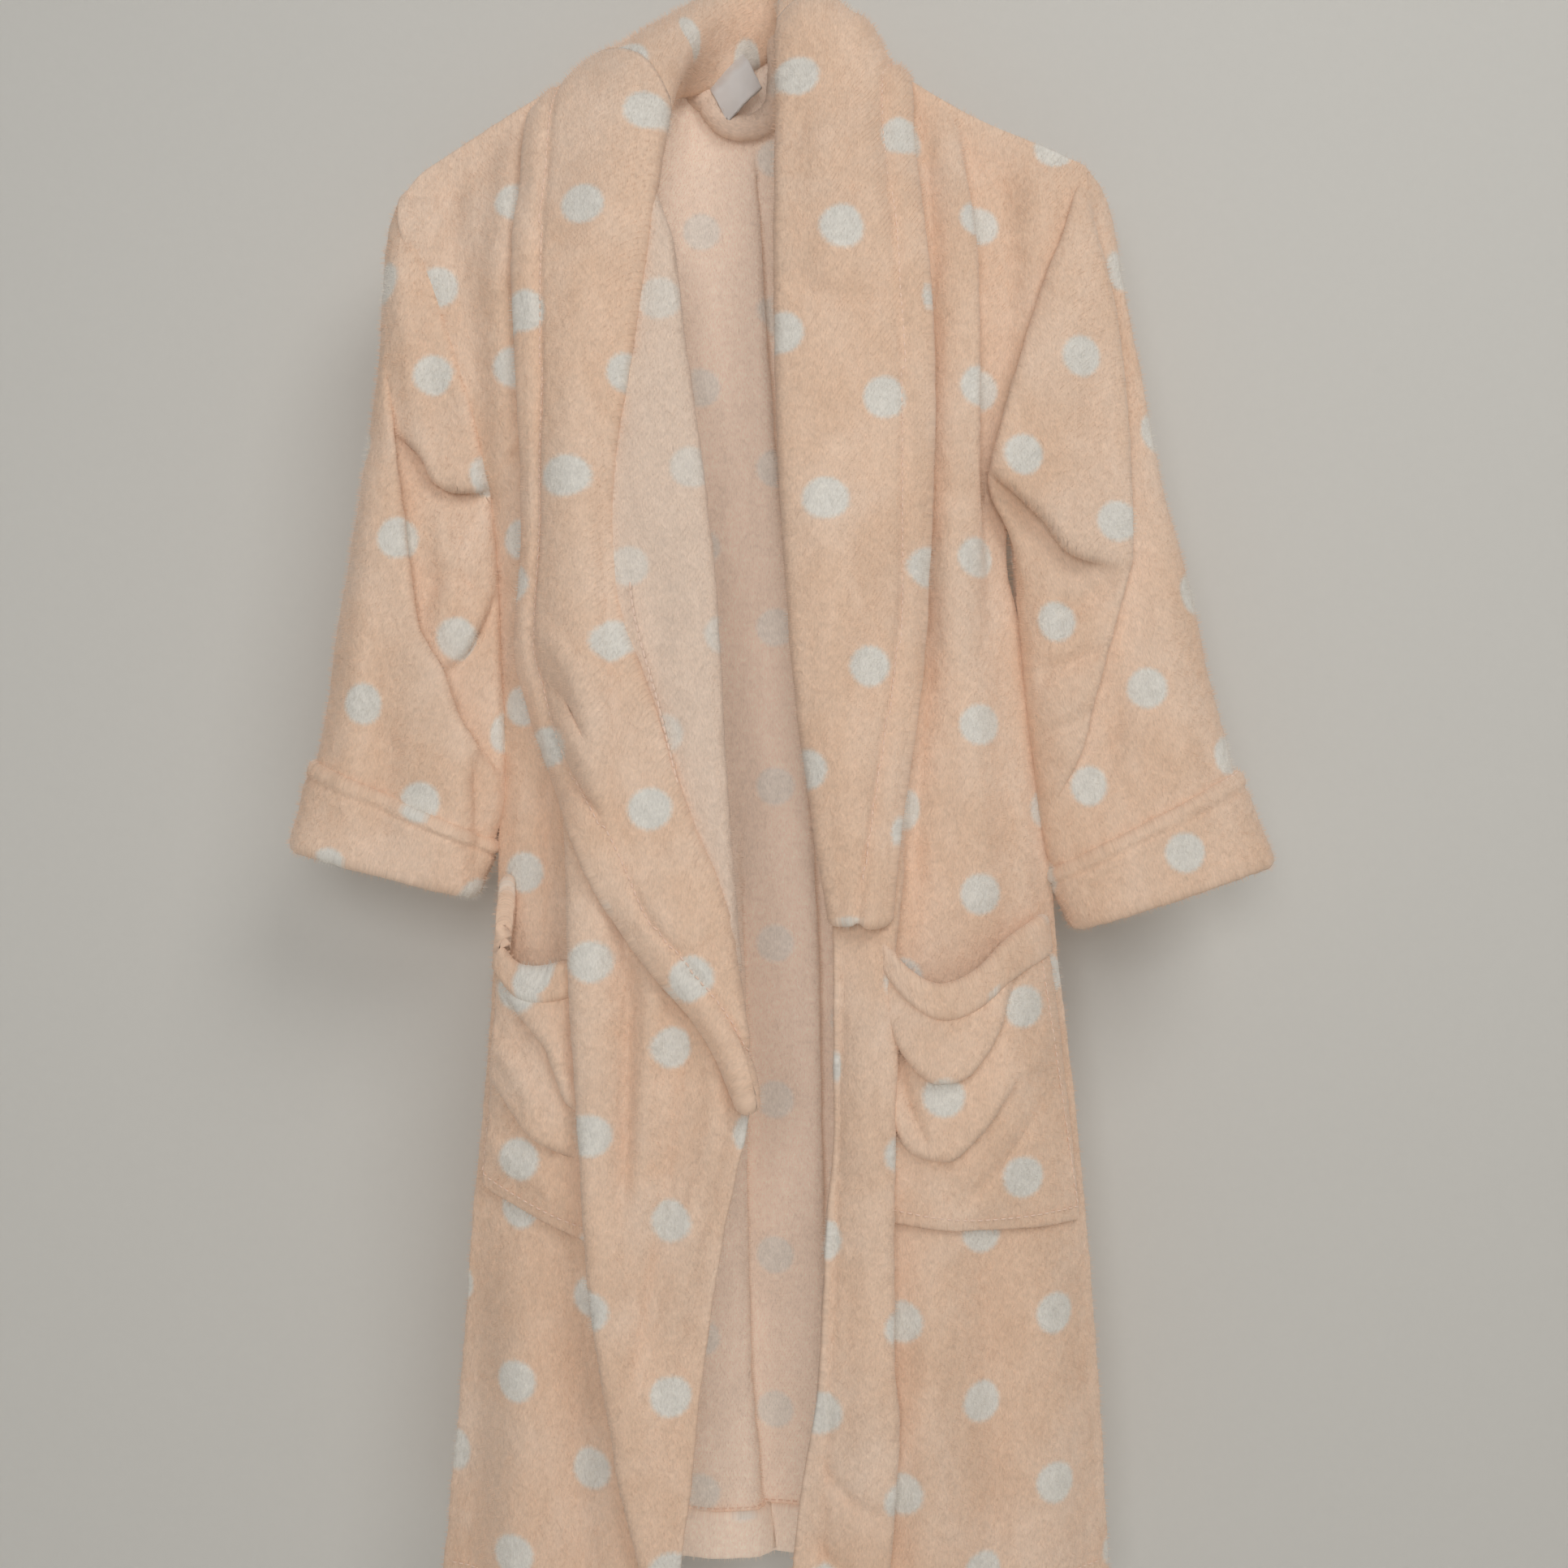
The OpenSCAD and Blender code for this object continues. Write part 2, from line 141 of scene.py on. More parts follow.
def to_frame(points):
    """Millimetres from the shoulder line to metres in the CAD frame."""
    return np.asarray(points, float) / 1000 + np.array([0, SHOULDER_Y, 0])


def unit(v):
    return v / np.maximum(np.linalg.norm(v, axis=-1, keepdims=True), 1e-9)


# ---- folds -----------------------------------------------------------------------------------
# A fold runs along a path of (along, across) points. It returns how far the cloth comes forward.

def path_distance(across, along, path):
    """Signed distance across the path, and how much of the fold is left near its two ends."""
    rising = path[0][0] < path[-1][0]
    line = curve(*([(-a, c) for a, c in path] if rising else path))
    key = -along if rising else along
    first, last = (-path[0][0], -path[-1][0]) if rising else (path[0][0], path[-1][0])
    fade = 0.36 * abs(first - last)
    left = ease((first - key) / fade + 0.5) * ease((key - last) / fade + 0.5)
    return across - line(key), left


def step_fold(across, along, path, high, low, reach, width=4.0):
    """A fold edge: the cloth before the path stands high forward, the cloth after it lies low back."""
    d, left = path_distance(across, along, path)
    after = 0.5 * (1 + np.tanh(d / width))
    return (high * (1 - after) - low * after) * np.exp(-np.abs(d) / reach) * left


def fold_laps(x, z, folds, amount=1.9):
    """How far cloth slides across beside each step fold, so that its high side laps over."""
    slide_x, slide_z = np.zeros_like(x), np.zeros_like(x)
    for kind, direction, path, *numbers in folds:
        if kind is not step_fold:
            continue
        high, low, _, width = numbers
        across, along = (x, z) if direction == "down" else (z, x)
        d, left = path_distance(across, along, path)
        full = min(abs(high + low) / 18, 1.0)
        slide = -amount * full * left * d * np.exp(-(d / (1.5 * width)) ** 2)
        if direction == "down":
            slide_x = slide_x + slide
        else:
            slide_z = slide_z + slide
    return slide_x, slide_z


def ridge(across, along, path, height, width):
    """A soft round ridge, or a groove when height is negative."""
    d, left = path_distance(across, along, path)
    return height * np.exp(-(d / width) ** 2) * left


def apply_folds(x, z, folds):
    """The sum of a sheet's folds. Each is (kind, direction, path, numbers...)."""
    total = np.zeros_like(x)
    for kind, direction, *numbers in folds:
        across, along = (x, z) if direction == "down" else (z, x)
        total += kind(across, along, *numbers)
    return total


# ---- sheets to solid cloth -------------------------------------------------------------------

def grid_normals(grid, facing, around=False):
    """Unit normals of a grid of points, turned to the side that facing points to."""
    if around:
        down = np.roll(grid, -1, 0) - np.roll(grid, 1, 0)
    else:
        down = np.gradient(grid, axis=0)
    normal = unit(np.cross(down, np.gradient(grid, axis=1)))
    turn = np.sign(np.sum(normal * facing, axis=-1, keepdims=True).mean())
    return normal * (turn if turn else 1.0)


def fabric_uv(grid):
    """Lengths in metres on the cloth: v along the middle column, u square to it."""
    cols = grid.shape[1]
    middle = cols // 2
    near, far = max(middle - 3, 0), min(middle + 3, cols - 1)
    arc = np.linalg.norm(np.diff(grid, axis=1), axis=2)
    arc = np.concatenate([np.zeros((len(grid), 1)), np.cumsum(arc, axis=1)], axis=1)
    arc -= arc[:, middle:middle + 1]
    down = np.linalg.norm(np.diff(grid[:, middle], axis=0), axis=1)
    down = np.concatenate([[0], np.cumsum(down)])[:, None]
    along = unit(np.gradient(grid[:, middle], axis=0))
    row = unit(grid[:, far] - grid[:, near])
    lean = np.sum(along * row, axis=1, keepdims=True)
    return np.stack([arc * np.sqrt(1 - lean ** 2), down + arc * lean], axis=-1) / 1000


def flat_uv(grid, smooth_y=None):
    """Lengths in metres on cloth that hangs nearly flat: u across, v down.

    smooth_y is the cloth's y before its folds, so that u follows its turn towards the sides.
    """
    u = grid[..., 0]
    if smooth_y is not None:
        middle = grid.shape[1] // 2
        across = np.diff(u, axis=1)
        length = np.hypot(across, np.diff(smooth_y, axis=1)) * np.sign(across)
        run = np.concatenate([np.zeros((len(grid), 1)), np.cumsum(length, axis=1)], axis=1)
        u = u[:, middle:middle + 1] + run - run[:, middle:middle + 1]
    return np.stack([u, -grid[..., 2]], axis=-1) / 1000


ROUND_STEPS = 4               # points in the half-round rim of a sheet
PILE_RELIEF = 0.6             # scale of the relief that the pile gives the mesh, millimetres
PILE_LENGTH = 0.004           # metres
PILE_WIDTH = 0.0002           # metres
PILE_PER_SQUARE_METRE = 150000


def pile(points, direction):
    """Moves points in and out a little, the way the pile parts and clumps."""
    flat = points.reshape(-1, 3)
    amount = np.array([noise.noise(Vector(q)) for q in (flat / 6.0).tolist()])
    amount += 1.1 * np.array([noise.noise(Vector(q)) for q in (flat / 27.0).tolist()])
    return points + direction * (amount * PILE_RELIEF).reshape(points.shape[:-1])[..., None]


def solid(name, grid, thickness, materials, facing, around=False, ends=("round", "round"),
          uv=None, normal=None):
    """A closed cloth mesh round a grid of points in millimetres.

    thickness is one number or one for each grid point. ends says how the first and last rows
    end: round, or flat where another piece carries on. With around, rows close into a tube.
    """
    rows, cols = grid.shape[:2]
    th = np.broadcast_to(np.asarray(thickness, float), (rows, cols)).copy()
    normal = grid_normals(grid, facing, around) if normal is None else normal
    uv = fabric_uv(grid) if uv is None else uv
    if not around:
        grid, th, normal, uv = round_ends(grid, th, normal, uv, ends)
        rows = len(grid)
    half = th[..., None] / 2
    front = pile(grid + normal * half, normal)
    back = pile(grid - normal * half, -normal)
    angles = np.linspace(0, math.pi, ROUND_STEPS + 2)[1:-1]

    def rim(col, outward):
        return [pile(grid[:, col] + outward * half[:, col] * math.sin(a)
                     + normal[:, col] * half[:, col] * math.cos(a),
                     outward * math.sin(a) + normal[:, col] * math.cos(a)) for a in angles]

    last_rim = rim(-1, unit(grid[:, -1] - grid[:, -2]))
    first_rim = rim(0, unit(grid[:, 0] - grid[:, 1]))[::-1]
    ring = ([front[:, i] for i in range(cols)] + last_rim
            + [back[:, i] for i in range(cols - 1, -1, -1)] + first_rim)
    ring = np.stack(ring, axis=1)
    size = ring.shape[1]
    columns = (list(range(cols)) + [cols - 1] * ROUND_STEPS + list(range(cols - 1, -1, -1))
               + [0] * ROUND_STEPS)
    back_start = cols + ROUND_STEPS
    faces, face_uv, slots = [], [], []
    for j in range(rows if around else rows - 1):
        k = (j + 1) % rows
        for i in range(size):
            n = (i + 1) % size
            faces.append((j * size + i, j * size + n, k * size + n, k * size + i))
            ca, cb = columns[i], columns[n]
            face_uv.extend((uv[j, ca], uv[j, cb], uv[j + 1, cb], uv[j + 1, ca]))
            slots.append(1 if back_start <= i < back_start + cols - 1 else 0)
    caps = []
    if not around:
        for j, end in ((0, ends[0]), (rows - 1, ends[1])):
            for i in range(size // 2 - 1):
                far = size - 2 - i
                loop = [j * size + (q - ROUND_STEPS // 2) % size for q in (i, i + 1, far, far + 1)]
                caps += [len(faces)] if end == "flat" else []
                faces.append(tuple(loop))
                face_uv.extend(uv[j, columns[q - j * size]] for q in loop)
                slots.append(0)
    obj = mesh_object(name, to_frame(ring.reshape(-1, 3)), faces, materials, slots, face_uv)
    for i in caps:
        obj.data.polygons[i].use_smooth = False
    return obj


def round_ends(grid, th, normal, uv, ends):
    """Adds rows that round off the first and last row of a sheet."""
    turns = (0.5, 0.87, 0.985)
    for end in (0, 1):
        if ends[end] == "flat":
            continue
        g, t, n, w = (a[::-1] if end else a for a in (grid, th, normal, uv))
        outward = unit(g[0] - g[1])
        extra = [(g[0] + outward * (t[0] / 2 * s)[:, None], t[0] * math.sqrt(1 - s * s), n[0], w[0])
                 for s in turns]
        g = np.concatenate([np.stack([e[0] for e in extra[::-1]]), g])
        t = np.concatenate([np.stack([e[1] for e in extra[::-1]]), t])
        n = np.concatenate([np.stack([e[2] for e in extra[::-1]]), n])
        w = np.concatenate([np.stack([e[3] for e in extra[::-1]]), w])
        grid, th, normal, uv = (a[::-1] if end else a for a in (g, t, n, w))
    return grid, th, normal, uv


def mesh_object(name, points, faces, materials, slots=None, face_uv=None):
    mesh = bpy.data.meshes.new(name)
    mesh.from_pydata(points.tolist(), [], faces)
    if face_uv is not None:
        layer = mesh.uv_layers.new(name="fabric")
        layer.data.foreach_set("uv", np.asarray(face_uv, np.float32).ravel())
    for material in materials:
        mesh.materials.append(material)
    if slots is not None:
        mesh.polygons.foreach_set("material_index", np.asarray(slots, np.int32))
    work = bmesh.new()
    work.from_mesh(mesh)
    bmesh.ops.recalc_face_normals(work, faces=work.faces)
    work.to_mesh(mesh)
    work.free()
    mesh.shade_smooth()
    obj = bpy.data.objects.new(name, mesh)
    bpy.context.scene.collection.objects.link(obj)
    return obj


# ---- materials -------------------------------------------------------------------------------

class Nodes:
    """Short names for building a material's node tree."""

    def __init__(self, name):
        self.material = bpy.data.materials.new(name)
        self.material.use_nodes = True
        self.tree = self.material.node_tree
        self.shader = self.tree.nodes["Principled BSDF"]
        self.output = self.tree.nodes["Material Output"]

    def add(self, kind, **settings):
        node = self.tree.nodes.new(kind)
        for key, value in settings.items():
            setattr(node, key, value)
        return node

    def put(self, socket, value):
        if isinstance(value, bpy.types.NodeSocket):
            self.tree.links.new(value, socket)
        elif value is not None:
            socket.default_value = value

    def math(self, operation, a, b=None):
        node = self.add("ShaderNodeMath", operation=operation)
        for socket, value in zip(node.inputs, (a, b)):
            self.put(socket, value)
        return node.outputs[0]

    def vector(self, operation, a, b=None):
        node = self.add("ShaderNodeVectorMath", operation=operation)
        self.put(node.inputs[0], a)
        self.put(node.inputs[1], b)
        return node.outputs["Value" if operation == "LENGTH" else "Vector"]

    def noise(self, where, scale, detail=2.0, distortion=0.0):
        node = self.add("ShaderNodeTexNoise")
        self.put(node.inputs["Vector"], where)
        self.put(node.inputs["Scale"], scale)
        self.put(node.inputs["Detail"], detail)
        self.put(node.inputs["Distortion"], distortion)
        return node.outputs["Fac"]

    def ramp(self, value, low, high, to_low=0.0, to_high=1.0, smooth=False):
        node = self.add("ShaderNodeMapRange")
        if smooth:
            node.interpolation_type = "SMOOTHSTEP"
        for socket, number in zip(node.inputs[:5], (value, low, high, to_low, to_high)):
            self.put(socket, number)
        return node.outputs[0]

    def blend(self, factor, a, b, kind="MIX"):
        node = self.add("ShaderNodeMix", data_type="RGBA", blend_type=kind)
        self.put(node.inputs["Factor"], factor)
        for socket, value in zip((node.inputs[6], node.inputs[7]), (a, b)):
            self.put(socket, value if isinstance(value, bpy.types.NodeSocket) else (*value, 1.0))
        return node.outputs[2]

    def bump(self, height, strength, distance, normal=None):
        node = self.add("ShaderNodeBump")
        self.put(node.inputs["Height"], height)
        self.put(node.inputs["Strength"], strength)
        self.put(node.inputs["Distance"], distance)
        self.put(node.inputs["Normal"], normal)
        return node.outputs[0]


PEACH = (0.87, 0.62, 0.455)
PALE_PEACH = (0.86, 0.685, 0.56)
LIGHT_PEACH = (0.89, 0.70, 0.565)
# The pale inside colour made lighter for the back's deep inside: painted light where that recess renders
# dark.
PAINTED_LIGHT_INSIDE_PEACH = (0.95, 0.78, 0.65)
DOT_WHITE = (0.82, 0.79, 0.73)
DOT_SPACING = (0.104, 0.110)     # metres between dots in a row, and between rows of one kind
DOT_RADIUS = 0.0133
DOT_FUZZ = 0.0032                # how far the pile wanders over a dot's edge


def fleece(name, phase=(0.0, 0.0), turn=0.0, ground=PEACH, dot_strength=1.0, glow=0.0):
    """Plush fleece: dots in a staggered lattice, brushed pile, a soft sheen at grazing angles.

    phase (millimetres) and turn (degrees) place the dots. glow is a faint light of the cloth's own,
    set where a narrow space renders too dark. It is no property of real fleece.
    """
    n = Nodes(name)
    uv = n.add("ShaderNodeUVMap", uv_map="fabric").outputs[0]
    place = n.add("ShaderNodeMapping")
    n.put(place.inputs["Vector"], uv)
    n.put(place.inputs["Location"], (phase[0] / 1000, phase[1] / 1000, 0))
    n.put(place.inputs["Rotation"], (0, 0, math.radians(turn)))
    here = place.outputs[0]
    period = (*DOT_SPACING, 1.0)
    cell = n.vector("DIVIDE", here, period)
    distances = []
    for shift in ((0, 0, 0), (0.5, 0.5, 0)):
        local = n.vector("FRACTION", n.vector("ADD", cell, shift))
        local = n.vector("MULTIPLY", n.vector("SUBTRACT", local, (0.5, 0.5, 0)), (*DOT_SPACING, 0))
        distances.append(n.vector("LENGTH", local))
    nearest = n.math("MINIMUM", *distances)
    fuzz = n.noise(uv, 520.0, 2.0)
    nearest = n.math("ADD", nearest, n.math("MULTIPLY", n.math("SUBTRACT", fuzz, 0.5), DOT_FUZZ))
    dot = n.ramp(nearest, DOT_RADIUS - 0.0024, DOT_RADIUS + 0.0022, dot_strength, 0.0, True)

    stretched = n.vector("MULTIPLY", uv, (1.0, 0.3, 1.0))
    strands = n.noise(stretched, 1100.0, 2.0, 0.3)
    clumps = n.noise(n.vector("MULTIPLY", uv, (1.0, 0.7, 1.0)), 230.0, 2.0, 0.8)
    brushed = n.noise(n.vector("MULTIPLY", uv, (1.0, 0.5, 1.0)), 22.0, 2.0, 1.2)
    patch = n.noise(uv, 9.0, 3.0, 0.6)
    brushed_up = n.math("ADD", n.ramp(patch, 0.42, 0.68, 0.0, 0.55), n.ramp(brushed, 0.4, 0.75, 0, 0.35))
    base = n.blend(brushed_up, ground, LIGHT_PEACH if ground is PEACH else ground)
    colour = n.blend(dot, base, DOT_WHITE)
    shade = n.math("MULTIPLY", n.ramp(strands, 0.25, 0.75, 0.88, 1.08),
                   n.math("MULTIPLY", n.ramp(clumps, 0.3, 0.7, 0.93, 1.04),
                          n.ramp(brushed, 0.3, 0.7, 0.95, 1.04)))
    grey = n.add("ShaderNodeCombineColor")
    for socket in grey.inputs:
        n.put(socket, shade)
    colour = n.blend(1.0, colour, grey.outputs[0], "MULTIPLY")
    # Painted sheen: towards grazing angles the colour is mixed with a pale peach, on top of the shader's
    # own sheen.
    facing = n.add("ShaderNodeLayerWeight")
    n.put(facing.inputs["Blend"], 0.3)
    rim = n.math("MULTIPLY", n.math("POWER", facing.outputs["Facing"], 2.0), 0.5)
    colour = n.blend(rim, colour, (0.92, 0.78, 0.68))
    n.put(n.shader.inputs["Base Color"], colour)
    n.put(n.shader.inputs["Roughness"], n.ramp(brushed, 0.3, 0.7, 0.86, 1.0))
    n.put(n.shader.inputs["Specular IOR Level"], 0.08)
    n.put(n.shader.inputs["Sheen Weight"], 0.3)
    n.put(n.shader.inputs["Sheen Roughness"], 0.6)
    n.put(n.shader.inputs["Sheen Tint"], (1.0, 0.9, 0.82, 1.0))
    n.put(n.shader.inputs["Emission Color"], colour)
    n.put(n.shader.inputs["Emission Strength"], glow)
    rough = n.bump(strands, 0.3, 0.0012)
    rough = n.bump(clumps, 0.35, 0.0025, rough)
    n.put(n.shader.inputs["Normal"], rough)
    return n.material


def thread_material():
    n = Nodes("thread")
    where = n.add("ShaderNodeTexCoord").outputs["Object"]
    twist = n.noise(where, 2600.0, 1.0)
    n.put(n.shader.inputs["Base Color"], n.blend(twist, (0.93, 0.66, 0.52), (0.98, 0.80, 0.68)))
    n.put(n.shader.inputs["Roughness"], n.ramp(twist, 0.3, 0.7, 0.45, 0.7))
    n.put(n.shader.inputs["Sheen Weight"], 0.3)
    n.put(n.shader.inputs["Normal"], n.bump(twist, 0.5, 0.0004))
    return n.material


def satin_material():
    """Woven label satin: fine ribs across, a soft sheen, slightly uneven."""
    n = Nodes("label_satin")
    uv = n.add("ShaderNodeUVMap", uv_map="fabric").outputs[0]
    ribs = n.add("ShaderNodeTexWave", bands_direction="Y")
    n.put(ribs.inputs["Vector"], uv)
    n.put(ribs.inputs["Scale"], 420.0)
    n.put(ribs.inputs["Distortion"], 0.6)
    worn = n.noise(uv, 60.0, 2.0)
    n.put(n.shader.inputs["Base Color"], n.blend(worn, (0.66, 0.645, 0.64), (0.76, 0.745, 0.73)))
    n.put(n.shader.inputs["Roughness"], n.ramp(ribs.outputs["Fac"], 0.0, 1.0, 0.32, 0.5))
    n.put(n.shader.inputs["Anisotropic"], 0.5)
    n.put(n.shader.inputs["Normal"], n.bump(ribs.outputs["Fac"], 0.35, 0.0003))
    return n.material


# ---- the body's shape ------------------------------------------------------------------------

NECK_X, NECK_Z = 72.0, 12.0
TIP_X = 228.0
TIP_Z = {LEFT: -70.0, RIGHT: -92.0}
ARMPIT_Z = -288.0
FRONT_DEPTH, BACK_DEPTH = 50.0, 66.0

side_x = {
    LEFT: curve((-70, TIP_X), (-100, 222), (-150, 207), (-220, 190), (ARMPIT_Z, 176), (-330, 174),
                (-379, 184), (-446, 195), (-506, 202), (-592, 208), (-678, 218), (-768, 227),
                (-900, 237), (HEM_Z, 243)),
    RIGHT: curve((-92, -TIP_X), (-130, -213), (-200, -190), (-240, -179), (ARMPIT_Z, -170),
                 (-338, -163), (-402, -161), (-466, -160), (-543, -161), (-620, -165),
                 (-700, -171), (-770, -178), (-845, -183), (-906, -188), (-960, -193),
                 (HEM_Z, -199)),
}
# The line along which each front rolls or ends towards the opening
edge_x = {
    LEFT: curve((NECK_Z, 70), (-20, 48), (-70, 36), (-133, 32), (-239, 33), (-395, 41),
                (-473, 50), (-551, 61), (-707, 62), (-765, 57), (-854, 53), (-906, 46),
                (-940, 40), (-980, 36), (HEM_Z, 33)),
    RIGHT: curve((NECK_Z, -72), (-40, -68), (-93, -61), (-133, -49), (-196, -41), (-291, -28),
                 (-354, -21), (-480, -14), (-603, -4), (-684, 4), (-728, -4), (-775, -14),
                 (-864, -27), (-930, -34), (-984, -41), (HEM_Z, -44)),
}
shoulder = {
    LEFT: curve((TIP_X, -70), (209, -61), (155, -38), (NECK_X, NECK_Z)),
    RIGHT: curve((-NECK_X, NECK_Z), (-150, -33), (-193, -61), (-215, -76), (-TIP_X, -92)),
}


def shoulder_z(x):
    return np.where(x > 0, shoulder[LEFT](x), shoulder[RIGHT](x))


def fullness(z):
    return mix(0.7, 1.0, share(z, ARMPIT_Z, HEM_Z))


def armhole_bulge(z, side):
    """How far the side edge opens where it meets the sleeve's round end."""
    down = share(z, TIP_Z[side], ARMPIT_Z)
    return 17 * np.sqrt(np.clip(1 - (2 * down - 1) ** 2, 0, 1))


FRONT_FOLDS = {
    LEFT: [
        # pleats that leave the neck beside the lapel
        (step_fold, "down", [(-6, 141), (-35, 143), (-138, 150), (-268, 153), (-330, 158)],
         13, 12, 26, 5.5),
        (ridge, "down", [(0, 118), (-200, 125), (-420, 124)], -9, 9),
        (ridge, "down", [(-60, 174), (-160, 178), (-250, 172)], -8, 12),
        (ridge, "down", [(-60, 200), (-160, 196), (-250, 186)], 7, 12),
        (ridge, "down", [(-300, 142), (-420, 150), (-560, 156)], 8, 14),
        (ridge, "down", [(-360, 180), (-470, 186), (-570, 188)], 5, 9),
        (ridge, "down", [(-330, 120), (-450, 116), (-560, 112)], -9, 9),
        # the front band stands in front of the panel
        (step_fold, "down", [(-540, 103), (-590, 96), (-612, 92), (-645, 97), (-700, 95),
                             (-850, 94), (-890, 97), (-960, 94), (HEM_Z - 60, 88)],
         13, 12, 36, 5.5),
        (ridge, "down", [(-590, 66), (-760, 62), (-900, 56), (HEM_Z - 40, 50)], -3, 4),
        (ridge, "down", [(-640, 78), (-800, 80), (-940, 78)], 3, 8),
        (ridge, "along", [(50, -915), (72, -940), (96, -952)], -4, 8),
        (ridge, "along", [(46, -965), (68, -986), (90, -1000)], -4, 9),
        (ridge, "down", [(-790, 124), (-900, 120), (HEM_Z - 40, 122)], 8, 16),
        (ridge, "down", [(-780, 158), (-900, 164), (HEM_Z - 40, 170)], -8, 15),
        (ridge, "down", [(-770, 200), (-880, 206), (HEM_Z - 40, 212)], 8, 18),
    ],
    RIGHT: [
        # the inner half hangs in front of the pocket's edge
        (step_fold, "down", [(-400, -126), (-480, -112), (-540, -109), (-621, -106),
                             (-703, -100), (-796, -93), (-882, -80), (-925, -73),
                             (-973, -63), (HEM_Z - 60, -54)], -7, -18, 60, 5.5),
        (ridge, "down", [(-80, -196), (-160, -186), (-230, -172)], -7, 12),
        (ridge, "down", [(-40, -152), (-160, -158), (-290, -158)], 6, 10),
        (step_fold, "along", [(-190, -294), (-170, -283), (-150, -262), (-130, -243)],
         -3, -3, 22, 2.4),
        (ridge, "down", [(-500, -98), (-640, -94), (-800, -84), (-900, -68)], 8, 11),
        (ridge, "down", [(-560, -76), (-640, -72), (-740, -74)], -7, 8),
        (ridge, "down", [(-600, -54), (-660, -60), (-760, -66)], 5, 8),
        # topstitched groove of the front band
        (ridge, "down", [(-640, -33), (-704, -43), (-754, -50), (-804, -59), (-850, -68),
                         (-905, -77)], -3, 4.5),
        (ridge, "down", [(-640, -20), (-690, -14), (-760, -30), (-850, -46)], 6, 9),
        (ridge, "down", [(-780, -150), (-900, -146), (HEM_Z - 40, -150)], 9, 18),
        (ridge, "down", [(-790, -112), (-900, -104), (HEM_Z - 40, -98)], -8, 13),
        (ridge, "down", [(-790, -180), (-900, -176), (HEM_Z - 40, -180)], -6, 12),
        (ridge, "down", [(-330, -152), (-450, -150), (-560, -148)], 5, 9),
        (ridge, "down", [(-470, -128), (-560, -126), (-600, -128)], -8, 8),
    ],
}


def front_y(x, z, side, folded=True):
    """Middle of the front's layer of cloth."""
    inner, outer = edge_x[side](z), side_x[side](z)
    u = share(x, inner, outer)
    hang = ease((shoulder_z(x) - z) / 140)
    base = 2.6 + hang * FRONT_DEPTH * fullness(z) * (1 - u ** 2.6)
    base += armhole_bulge(z, side) * u ** 3
    if not folded:
        return -base
    settle = ease((shoulder_z(x) - z) / 36)
    return -base - apply_folds(x, z, FRONT_FOLDS[side]) * settle * (1 - u ** 6)


def front_grid(side):
    v, u = spread(300, 84)
    top_x = mix(side * NECK_X, side * TIP_X, u)
    z = mix(shoulder_z(top_x) - 0.5, HEM_Z, v)
    x = mix(edge_x[side](z), side_x[side](z), u)
    x = mix(top_x, x, ease(v * 14))
    y = front_y(x, z, side)
    lap_x, lap_z = fold_laps(x, z, FRONT_FOLDS[side])
    held = ease(v * 12) * ease((1 - v) * 14) * (1 - u ** 6)
    return np.stack([x + lap_x * held, y, z + lap_z * held], axis=-1)


BACK_FOLDS = [
    (step_fold, "down", [(-30, 5), (-239, 17), (-395, 33), (-600, 48), (-800, 52),
                         (HEM_Z - 60, 58)], 13, 10, 34, 6),
    (ridge, "down", [(-80, -40), (-400, -30), (-700, -26), (HEM_Z - 60, -20)], 9, 22),
    (ridge, "down", [(-120, -95), (-500, -92), (HEM_Z - 60, -104)], -9, 26),
    (ridge, "down", [(-120, 96), (-500, 104), (HEM_Z - 60, 128)], -9, 28),
    (step_fold, "down", [(-560, -4), (-700, -2), (-860, 0), (HEM_Z - 60, 20)], 9, 8, 30, 6),
    (ridge, "down", [(-300, 150), (HEM_Z - 60, 186)], 7, 20),
    (ridge, "down", [(-300, -138), (HEM_Z - 60, -158)], 7, 20),
]
NECK_DEPTH = 58.0
# The neck seam hangs higher on the wearer's left
nape = curve((72, 12), (52, 30), (25, 37), (0, 20), (-25, 6), (-50, -3), (-72, 12))


def back_top_z(x):
    return np.where(np.abs(x) < NECK_X, nape(x), shoulder_z(x))


def back_y(x, z, folded=True):
    centre = (side_x[LEFT](z) + side_x[RIGHT](z)) / 2
    half = (side_x[LEFT](z) - side_x[RIGHT](z)) / 2
    u = np.clip(np.abs(x - centre) / half, 0, 1)
    neck = NECK_DEPTH * np.sqrt(np.clip(1 - (x / NECK_X) ** 2, 0, 1))
    hang = ease((back_top_z(x) - z) / 170)
    body = BACK_DEPTH * fullness(z) * (1 - u ** 3)
    bulge = np.where(x > centre, armhole_bulge(z, LEFT), armhole_bulge(z, RIGHT))
    body += bulge * u ** 3
    if folded:
        body -= apply_folds(x, z, BACK_FOLDS) * (1 - u ** 6)
    return 2.6 + mix(neck, body, hang)


def back_grid():
    v, u = spread(230, 110)
    top_x = mix(-TIP_X, TIP_X, u)
    z = mix(back_top_z(top_x), HEM_Z, v)
    x = mix(side_x[RIGHT](z), side_x[LEFT](z), u)
    x = mix(top_x, x, ease(v * 14))
    lap = fold_laps(x, z, BACK_FOLDS)[0] * ease(v * 10) * ease((1 - v) * 14)
    return np.stack([x + lap, back_y(x, z), z], axis=-1)


# ---- collar and lapels: one long band, cut into three pieces ----------------------------------

